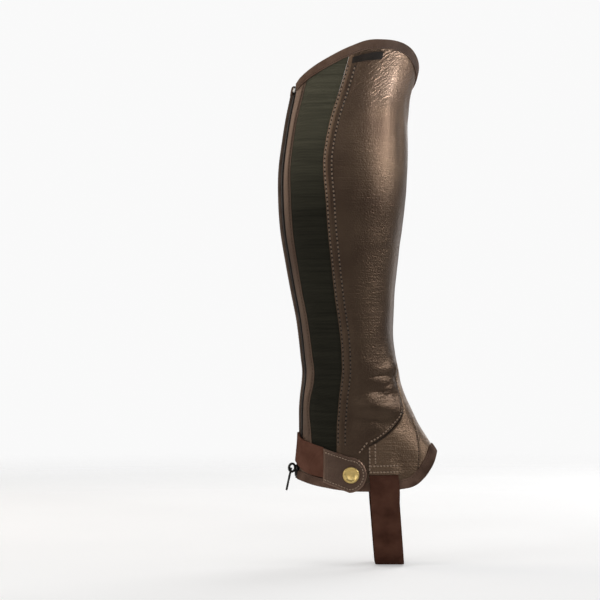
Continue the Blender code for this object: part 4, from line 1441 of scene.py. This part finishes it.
tab_leather = leather_look(
    "tab_leather", (0.110, 0.066, 0.046), (0.165, 0.106, 0.076), 0.46, edged=True
)
# The tab's rim is up to nearly twice as light as its middle: a painted highlight on its rounded
# edge.
tab_rim = tab_edge_distance(leg(tab_angles, tab_heights)[..., 0], tab_heights)
tab = wall(
    "snap_tab_leather",
    surface(tab_angles, tab_heights, tab_face_offset(tab_angles, tab_heights)),
    surface(tab_angles, tab_heights, tab_inside_at(tab_heights)),
    [tab_leather],
    edge=0.97 + 0.9 * bump(tab_rim - 0.5, 0.9),
)
line_x = np.linspace(TAB_REAR + 1.5, TAB_END["x"], 60)
line_middle = smooth(line_x, TAB["x"], TAB["middle"])
line_half = smooth(line_x, TAB["x"], TAB["half"]) - TAB_STITCH
arc = np.radians(np.linspace(90, -90, 90))[1:-1]
arc_half = TAB_END["half"] - TAB_STITCH
arc_long = TAB_END_LONG * arc_half / TAB_END["half"]
stitch_x = np.concatenate([line_x, TAB_END["x"] + arc_long * np.cos(arc), line_x[::-1]])
stitch_heights = np.concatenate(
    [
        line_middle + line_half,
        TAB_END["middle"] + arc_half * np.sin(arc),
        (line_middle - line_half)[::-1],
    ]
)
tab_line = (angle_at(stitch_x, stitch_heights), stitch_heights)
tab_stitches = beads(
    "snap_tab_stitches",
    [places_along(*tab_line, tab_face_offset, TAB_PITCH)],
    light_thread,
    half_long=1.3,
    half_wide=0.6,
    tall=0.32,
)
tab_holes = needle_holes(
    "snap_tab_needle_holes",
    [places_along(*tab_line, tab_face_offset, TAB_PITCH, start=1.0)],
    half_long=0.4,
    half_wide=0.4,
    tall=-0.1,
)
fit([tab, tab_stitches, tab_holes], "ankle_tab")

# The snap's cap is stamped brass: a raised round rim with a shallow dish inside it, pressed on
# through the tab. Its profile runs from the centre out and back under the rim.
SNAP_PROFILE = np.array(
    [
        (0.0, 0.85),
        (1.2, 0.87),
        (3.0, 0.95),
        (4.6, 1.15),
        (5.6, 1.5),
        (6.3, 1.95),
        (6.9, 2.15),
        (7.5, 2.02),
        (8.0, 1.65),
        (8.3, 1.15),
        (8.3, 0.6),
        (7.9, 0.1),
        (6.5, 0.0),
        (0.0, 0.0),
    ],
    dtype=[("radius", float), ("rise", float)],
)
SNAP_SIDES = 56
SNAP_GAP = 0.45


def tab_plain(angle, height):
    """Points of the tab's outer face without its rim, grooves and ring."""
    return surface(angle, height, tab_inside_at(height) + TAB_THICK)


snap_around = tab_plain(SNAP_ANGLE + 2, SNAP_HEIGHT) - tab_plain(SNAP_ANGLE - 2, SNAP_HEIGHT)
snap_upward = tab_plain(SNAP_ANGLE, SNAP_HEIGHT + 4) - tab_plain(SNAP_ANGLE, SNAP_HEIGHT - 4)
snap_out = np.cross(snap_around, snap_upward)
snap_out /= np.linalg.norm(snap_out)
snap_side = np.cross([0, 0, 1.0], snap_out)
snap_side /= np.linalg.norm(snap_side)
snap_rise = np.cross(snap_out, snap_side)
snap_base = tab_plain(SNAP_ANGLE, SNAP_HEIGHT) + SNAP_GAP * snap_out


def turned(name, profile, base, out, side, rise, sides, look):
    """A profile turned round an axis: each row is a ring, but the first and last are points."""
    turns = np.arange(sides) * 2 * np.pi / sides
    spoke = np.cos(turns)[:, None] * side + np.sin(turns)[:, None] * rise
    rings = (
        base
        + profile["radius"][1:-1, None, None] * spoke[None]
        + profile["rise"][1:-1, None, None] * out
    )
    poles = base + profile["rise"][[0, -1], None] * out
    points = np.concatenate([rings.reshape(-1, 3), poles])
    ring = np.arange(len(profile) - 2)[:, None] * sides + np.arange(sides)
    after = np.roll(ring, -1, axis=1)
    quads = np.stack([ring[:-1], ring[1:], after[1:], after[:-1]], -1).reshape(-1, 4)
    top, bottom = len(points) - 2, len(points) - 1
    top_cap = np.stack([np.full(sides, top), ring[0], after[0]], -1)
    bottom_cap = np.stack([np.full(sides, bottom), after[-1], ring[-1]], -1)
    faces = quads.tolist() + top_cap.tolist() + bottom_cap.tolist()
    return finish_mesh(name, points, faces, [look])


def metal_look(name, dark, light, roughness, metallic=1.0):
    """Worn metal: fine scratches and small patches change its tone and its gloss."""
    made, tree, shader = new_look(name, Metallic=metallic, Coat_Weight=0.2)
    wear = noise(tree, own_place(tree), 260.0, 6.0)
    drive(
        tree,
        shader,
        Base_Color=two_tones(tree, wear, dark, light),
        Roughness=between(tree, wear, 0.0, 1.0, roughness - 0.08, roughness + 0.12),
        Normal=raised(tree, wear, 0.25, 0.0002),
    )
    return made


brass = metal_look("snap_brass", (0.78, 0.53, 0.17), (1.0, 0.76, 0.31), 0.36)
snap = turned(
    "snap_brass_cap", SNAP_PROFILE, snap_base, snap_out, snap_side, snap_rise, SNAP_SIDES, brass
)
fit([snap], "snap_cap")

# The stirrup strap is the same elastic. It leaves both lower corners of the gusset, crosses the
# hem binding and runs under the foot. Columns: height and distance from the middle plane.
STIRRUP = np.array(
    [
        (-318.0, 40.6),
        (-332.0, 39.2),
        (-346.0, 37.6),
        (-358.0, 36.2),
        (-367.0, 34.9),
        (-373.5, 32.7),
        (-377.6, 29.4),
        (-379.2, 25.0),
        (-379.5, 13.0),
        (-379.5, 0.0),
    ],
    dtype=[("height", float), ("out", float)],
)
STIRRUP_HALF_WIDE = 14.3
STIRRUP_TOP_X = 39.4
STIRRUP_LOW_X = 46.4
STIRRUP_TOP = -289.5 - CORNER_STEP / 2 - SEAM_GAP
on_chap = np.concatenate([np.linspace(STIRRUP_TOP, -300.0, 16), [-302, -304, -306, -307.5]])
lift_share = ramp(-on_chap, 291.2, 296.2)
chap_offset = STRAP_OFFSET + STRAP_THICK / 2 + (STRAP_OVER_BINDING - STRAP_OFFSET) * lift_share
across = np.linspace(-STIRRUP_HALF_WIDE, STIRRUP_HALF_WIDE, 17)
free_steps = np.hypot(np.diff(STIRRUP["height"]), np.diff(STIRRUP["out"]))
free_run = np.concatenate([[0], np.cumsum(free_steps)])
free_at = np.linspace(0, free_run[-1], 46)
free_height = np.interp(free_at, free_run, STIRRUP["height"])
free_out = np.interp(free_at, free_run, STIRRUP["out"])
for _ in range(2):
    free_height[1:-1] = (free_height[:-2] + 2 * free_height[1:-1] + free_height[2:]) / 4
    free_out[1:-1] = (free_out[:-2] + 2 * free_out[1:-1] + free_out[2:]) / 4


def stirrup_x(height):
    """The strap's middle line moves evenly forwards from the gusset's corner to the sole."""
    share = (height - STIRRUP_TOP) / (STIRRUP["height"][-1] - STIRRUP_TOP)
    return STIRRUP_TOP_X + (STIRRUP_LOW_X - STIRRUP_TOP_X) * share


def stirrup_side(side):
    """Middle points from the gusset's corner down to the sole: on the leather first, then along
    the table's line, where the strap flattens. side is 1 for the outer side, -1 for the inner."""
    places = stirrup_x(on_chap)[:, None] + across
    angles = angle_at(places, on_chap[:, None] + 0 * across)
    angles = angles if side > 0 else 360 - angles
    on_leather = surface(angles, on_chap[:, None], chap_offset[:, None])
    edge_y = on_leather[-1, :, 1]
    flat = ramp(-free_height, 307.5, 350)[:, None]
    y = -side * free_out[:, None] + (1 - flat) * (edge_y - edge_y[len(across) // 2])
    x = stirrup_x(free_height)[:, None] + across
    hanging = np.stack([x, y, free_height[:, None] + 0 * x], -1)
    return np.concatenate([on_leather, hanging])


# Painted shade: this is the ankle strap's elastic in darker tones, for the shade low down by the
# foot.
shaded_stirrup_look = strap_weave("stirrup_elastic", (0.056, 0.019, 0.011), (0.156, 0.068, 0.044))
stirrup_middle = np.concatenate([stirrup_side(-1)[:-1], stirrup_side(1)[::-1]])
down = np.gradient(stirrup_middle, axis=0)
right = np.gradient(stirrup_middle, axis=1)
stirrup_out = np.cross(right, down)
stirrup_out /= np.linalg.norm(stirrup_out, axis=-1, keepdims=True)
selvedge = 0.25 * ramp(STIRRUP_HALF_WIDE - np.abs(across), 0, 1.6)[None, :, None]
half_thick = STRAP_THICK / 2 - 0.2 + selvedge
stirrup = wall(
    "stirrup_elastic_strap",
    stirrup_middle + stirrup_out * half_thick,
    stirrup_middle - stirrup_out * half_thick,
    [shaded_stirrup_look],
)
fit([stirrup], "stirrup_strap")

# A small woven label is caught under the top binding and sewn down at its two ends. Its face is
# left blank.
LABEL = np.array(
    [(83.8, 119.6, 125.6), (92.5, 121.6, 128.6), (102, 123.4, 131), (111.5, 124.2, 132)],
    dtype=[("angle", float), ("low", float), ("high", float)],
)
LABEL_THICK = 0.6
LABEL_OFFSET = LEATHER + SEAM_GAP + 0.2
label_across = np.linspace(LABEL["angle"][0], LABEL["angle"][-1], 40)
label_low = np.interp(label_across, LABEL["angle"], LABEL["low"])
label_high = np.interp(label_across, LABEL["angle"], LABEL["high"])
label_heights = label_low + np.linspace(0, 1, 14)[:, None] * (label_high - label_low)
label_look = woven_look(
    "label_weave",
    (0.016, 0.012, 0.010),
    (0.074, 0.055, 0.044),
    rib_pitch=0.0007,
    thread_pitch=0.0006,
)
label = wall(
    "blank_label",
    surface(label_across, label_heights, LABEL_OFFSET + LABEL_THICK),
    surface(label_across, label_heights, LABEL_OFFSET),
    [label_look],
)
fit([label], "label")

# The slider is a black-coated die casting: two plates with the tape between them and a round
# bridge over them, from which the pull hangs. It stands at the bottom of the closed zip.
SLIDER_HEIGHT = -287.0
SLIDER_LOW = TAPE_OUTSIDE + LAYER_GAP
SLIDER_HIGH = 4.3
BRIDGE_OUT = 7.9
BRIDGE_UP = 2.3
BRIDGE_MIDDLE = 3.05
BRIDGE_TALL_MIDDLE = 4.0
BRIDGE_THICK = 1.2
BRIDGE_HALF_WIDE = 1.6
slider_angle = zip_line(SLIDER_HEIGHT)
slider_at = leg(slider_angle, SLIDER_HEIGHT)
out_way = outward(slider_angle, SLIDER_HEIGHT)
side_way = np.cross([0, 0, 1.0], out_way)
side_way /= np.linalg.norm(side_way)
up_way = np.cross(out_way, side_way)


def slider_points(side, up, out):
    """Points in the slider's own three directions, from the leg's face under its middle."""
    side, up, out = np.broadcast_arrays(side, up, out)
    return (
        slider_at
        + side[..., None] * side_way
        + up[..., None] * up_way
        + out[..., None] * out_way
    )


def closed_net(name, rings, look, wrap_rows=False):
    """A closed skin over rings of points. Its ends are closed by flat faces, or it wraps round
    like a tyre."""
    count, sides = rings.shape[:2]
    number = np.arange(count * sides).reshape(count, sides)
    after = np.roll(number, -1, axis=1)
    if wrap_rows:
        above, above_after = np.roll(number, -1, axis=0), np.roll(after, -1, axis=0)
        quads = np.stack([number, after, above_after, above], -1)
        faces = quads.reshape(-1, 4).tolist()
    else:
        quads = np.stack([number[:-1], after[:-1], after[1:], number[1:]], -1)
        faces = quads.reshape(-1, 4).tolist() + [number[0, ::-1].tolist(), number[-1].tolist()]
    return finish_mesh(name, rings.reshape(-1, 3), faces, [look])


def squared(wave, half_size, power):
    """A cosine or sine pushed out towards a box: its size to a power below 1, its sign kept."""
    return half_size * np.sign(wave) * np.abs(wave) ** power


black_metal = metal_look(
    "black_zip_metal", (0.012, 0.011, 0.011), (0.045, 0.042, 0.040), 0.26, metallic=0.9
)
SLIDER_HALF_WIDE = 4.0
SLIDER_HALF_TALL = 6.0
SLIDER_TAPER = 0.12
outline_turn = np.radians(np.arange(0, 360, 10))
outline_side = squared(np.cos(outline_turn), SLIDER_HALF_WIDE, 0.55)
outline_up = squared(np.sin(outline_turn), SLIDER_HALF_TALL, 0.55)
outline_side = outline_side * (1 - SLIDER_TAPER * np.abs(outline_up) / SLIDER_HALF_TALL)
layers = np.array(
    [
        (SLIDER_LOW, 0.90),
        (SLIDER_LOW + 0.3, 1.0),
        (SLIDER_LOW + 1.0, 1.0),
        (SLIDER_LOW + 1.2, 0.93),
        (SLIDER_LOW + 1.6, 0.93),
        (SLIDER_LOW + 1.8, 1.0),
        (SLIDER_HIGH - 0.7, 1.0),
        (SLIDER_HIGH - 0.25, 0.95),
        (SLIDER_HIGH, 0.84),
    ],
    dtype=[("out", float), ("share", float)],
)
layer_share = layers["share"][:, None]
slider_body = closed_net(
    "slider_plates",
    slider_points(outline_side * layer_share, outline_up * layer_share, layers["out"][:, None]),
    black_metal,
)
bridge_turn = np.linspace(0, 2 * np.pi, 36, endpoint=False)[:, None]
section_turn = np.linspace(0, 2 * np.pi, 14, endpoint=False)
section_side = squared(np.cos(section_turn), BRIDGE_HALF_WIDE, 0.6)
section_out = squared(np.sin(section_turn), BRIDGE_THICK, 0.6)
bridge = closed_net(
    "slider_bridge",
    slider_points(
        section_side + 0 * bridge_turn,
        BRIDGE_UP + (BRIDGE_TALL_MIDDLE + section_out) * np.sin(bridge_turn),
        BRIDGE_OUT + (BRIDGE_MIDDLE + section_out) * np.cos(bridge_turn),
    ),
    black_metal,
    wrap_rows=True,
)
fit([slider_body, bridge], "zip_slider")

# The pull is a flat black metal tab with a slot near its top. It hangs in the bridge, leans out
# from the chap and swings on it. Its rows go down the tab, each with a share of the full width.
PULL_LEAN = np.radians(12.5)
PULL_THICK = 1.3
PIVOT_UP = BRIDGE_UP - 0.7
PIVOT_OUT = BRIDGE_OUT + 0.8
PULL_SIDES = np.array([-3.2, -2.15, 2.15, 3.2])
PULL_LINES = np.array(
    [(-0.7, 0.94), (0.7, 1.0), (6.0, 1.0), (7.2, 1.0), (13.0, 0.9), (20.5, 0.92), (22.6, 0.7)],
    dtype=[("down", float), ("share", float)],
)
pivot = slider_points(0.0, PIVOT_UP, PIVOT_OUT)
level_out = np.array([out_way[0], out_way[1], 0.0]) / np.hypot(out_way[0], out_way[1])
hang_way = np.sin(PULL_LEAN) * level_out - np.cos(PULL_LEAN) * np.array([0, 0, 1.0])
pull_out = np.cross(side_way, -hang_way)
pull_middle = (
    pivot
    + (PULL_LINES["share"][:, None] * PULL_SIDES)[..., None] * side_way
    + PULL_LINES["down"][:, None, None] * hang_way
)[::-1]
pull_keep = np.ones((len(PULL_LINES) - 1, len(PULL_SIDES) - 1), bool)
pull_keep[-2, 1] = False
pull = wall(
    "pull_tab",
    pull_middle + pull_out * PULL_THICK / 2,
    pull_middle - pull_out * PULL_THICK / 2,
    [black_metal],
    pull_keep,
)
rounded = pull.modifiers.new("rounded", "BEVEL")
rounded.width = 0.35 * MM
rounded.segments = 3
rounded.limit_method = "ANGLE"
fit([pull], "zip_pull", body="pull")

# The top stop is a bare metal clamp, pressed over the head of the coil. It is the last thing to
# go on the tape.
bright_metal = metal_look("stop_metal", (0.42, 0.41, 0.39), (0.72, 0.71, 0.69), 0.3)
STOP_LOW = 93.0
STOP_TALL = 5.0
STOP_HALF_WIDE = 2.2
up_stop = np.linspace(0, 1, 9)[:, None]
stop_heights = STOP_LOW + STOP_TALL * up_stop
stop_across = np.linspace(-STOP_HALF_WIDE, STOP_HALF_WIDE, 11)
stop_angles = zip_line(stop_heights) + stop_across / pace(zip_line(stop_heights), stop_heights)
stop_rise = 0.9 + 1.1 * (1 - np.abs(stop_across / 2.3) ** 3)
stop_rise = stop_rise * (1 - 0.35 * bump((2 * up_stop - 1) ** 2 - 1, 0.25))
zip_stop = wall(
    "zip_top_stop",
    surface(stop_angles, stop_heights, TAPE_OUTSIDE + SEAM_GAP + stop_rise),
    surface(stop_angles, stop_heights, TAPE_OUTSIDE + SEAM_GAP),
    [bright_metal],
)
fit([zip_stop], "zip_stop")

# The studio: a pale floor that fades into the backdrop. Three cards on the toe side light the
# gloss alone. Broad cards fill from the left and from above the camera, two behind light the
# rims and the back, and one overhead lights the matt faces alone.
FLOOR_LEVEL = -0.3815
FLOOR_SIDES = 96
FLOOR_RINGS = np.array([0.3, 0.6, 1.0, 1.5, 2.4])[:, None]
floor_turns = np.arange(FLOOR_SIDES) * 2 * np.pi / FLOOR_SIDES
floor_points = np.stack(
    [
        FLOOR_RINGS * np.cos(floor_turns),
        FLOOR_RINGS * np.sin(floor_turns),
        FLOOR_LEVEL + 0 * FLOOR_RINGS * floor_turns,
    ],
    -1,
).reshape(-1, 3)
floor_number = np.arange(len(floor_points)).reshape(-1, FLOOR_SIDES)
floor_after = np.roll(floor_number, -1, axis=1)
floor_faces = np.stack(
    [floor_number[:-1], floor_number[1:], floor_after[1:], floor_after[:-1]], -1
).reshape(-1, 4)
floor = finish_mesh(
    "studio_floor", floor_points / MM, floor_faces.tolist() + [floor_number[0].tolist()], []
)
floor_look, floor_tree, floor_shader = new_look(
    "pale_floor", Roughness=0.85, Emission_Color=(1, 1, 1, 1)
)
floor_place = own_place(floor_tree)
floor_clouds = noise(floor_tree, floor_place, 3.0, 2.0)
floor_seen = add_node(floor_tree, "ShaderNodeLightPath").outputs["Is Camera Ray"]
distance = add_node(
    floor_tree, "ShaderNodeVectorMath", {0: floor_place}, operation="LENGTH"
).outputs["Value"]
drive(
    floor_tree,
    floor_shader,
    Base_Color=two_tones(floor_tree, floor_clouds, (0.80, 0.80, 0.80), (0.86, 0.86, 0.86)),
    Emission_Strength=between(floor_tree, floor_seen, 0.0, 1.0, 0.08, 0.42),
    Alpha=between(floor_tree, distance, 0.8, 2.3, 1.0, 0.0, interpolation_type="SMOOTHSTEP"),
)
floor.data.materials.append(floor_look)


def soft_light(name, place, target, size, power, colour=(1, 1, 1)):
    """A square area light at a place, turned to face a target."""
    lamp = bpy.data.lights.new(name, "AREA")
    lamp.shape = "SQUARE"
    lamp.size = size
    lamp.energy = power
    lamp.color = colour
    made = bpy.data.objects.new(name, lamp)
    bpy.context.scene.collection.objects.link(made)
    made.location = place
    made.rotation_euler = (made.location - Vector(target)).to_track_quat("Z", "Y").to_euler()
    return made


MIDDLE = (0.0, 0.0, -0.12)
key = soft_light("key_light", (0.66, -0.13, 0.46), (0.06, 0.0, 0.22), size=0.72, power=2.0)
bounce = soft_light("bounce_light", (0.52, -0.13, -0.06), (0.07, -0.02, 0.17), size=0.22, power=0.5)
toe = soft_light("toe_light", (0.64, 0.61, -0.28), (0.05, 0.0, -0.17), size=0.4, power=0.11)
for card, spread in ((key, 44), (bounce, 22), (toe, 55)):
    card.data.spread = np.radians(spread)
    card.visible_diffuse = False
soft_light("left_fill", (-1.3, -1.3, 0.5), (0.0, 0.0, -0.05), size=0.9, power=6)
soft_light("front_fill", (0.25, -2.4, 0.70), (0.0, 0.0, 0.05), size=0.9, power=6)
soft_light("rim_light", (0.9, 1.6, 0.7), MIDDLE, size=1.2, power=14)
soft_light("back_fill", (-1.3, 0.75, 0.4), MIDDLE, size=1.0, power=5, colour=(1.0, 0.88, 0.76))
overhead = soft_light("top_light", (0.1, -0.2, 1.9), MIDDLE, size=1.8, power=12)
overhead.visible_glossy = False

world = bpy.data.worlds.new("studio")
bpy.context.scene.world = world
world.use_nodes = True
backdrop = world.node_tree.nodes["Background"]
backdrop.inputs["Color"].default_value = (1, 1, 1, 1)
seen = add_node(world.node_tree, "ShaderNodeLightPath").outputs["Is Camera Ray"]
drive(world.node_tree, backdrop, Strength=between(world.node_tree, seen, 0.0, 1.0, 0.09, 0.95))

camera_data = bpy.data.cameras.new("studio_camera")
camera_data.sensor_width = 36
camera_data.lens = 180
camera = bpy.data.objects.new("studio_camera", camera_data)
bpy.context.scene.collection.objects.link(camera)
camera.location = (-0.0435, -3.03, -0.115)
camera.rotation_euler = (np.pi / 2, 0, 0)
bpy.context.scene.camera = camera
bpy.context.scene.view_settings.view_transform = "Standard"
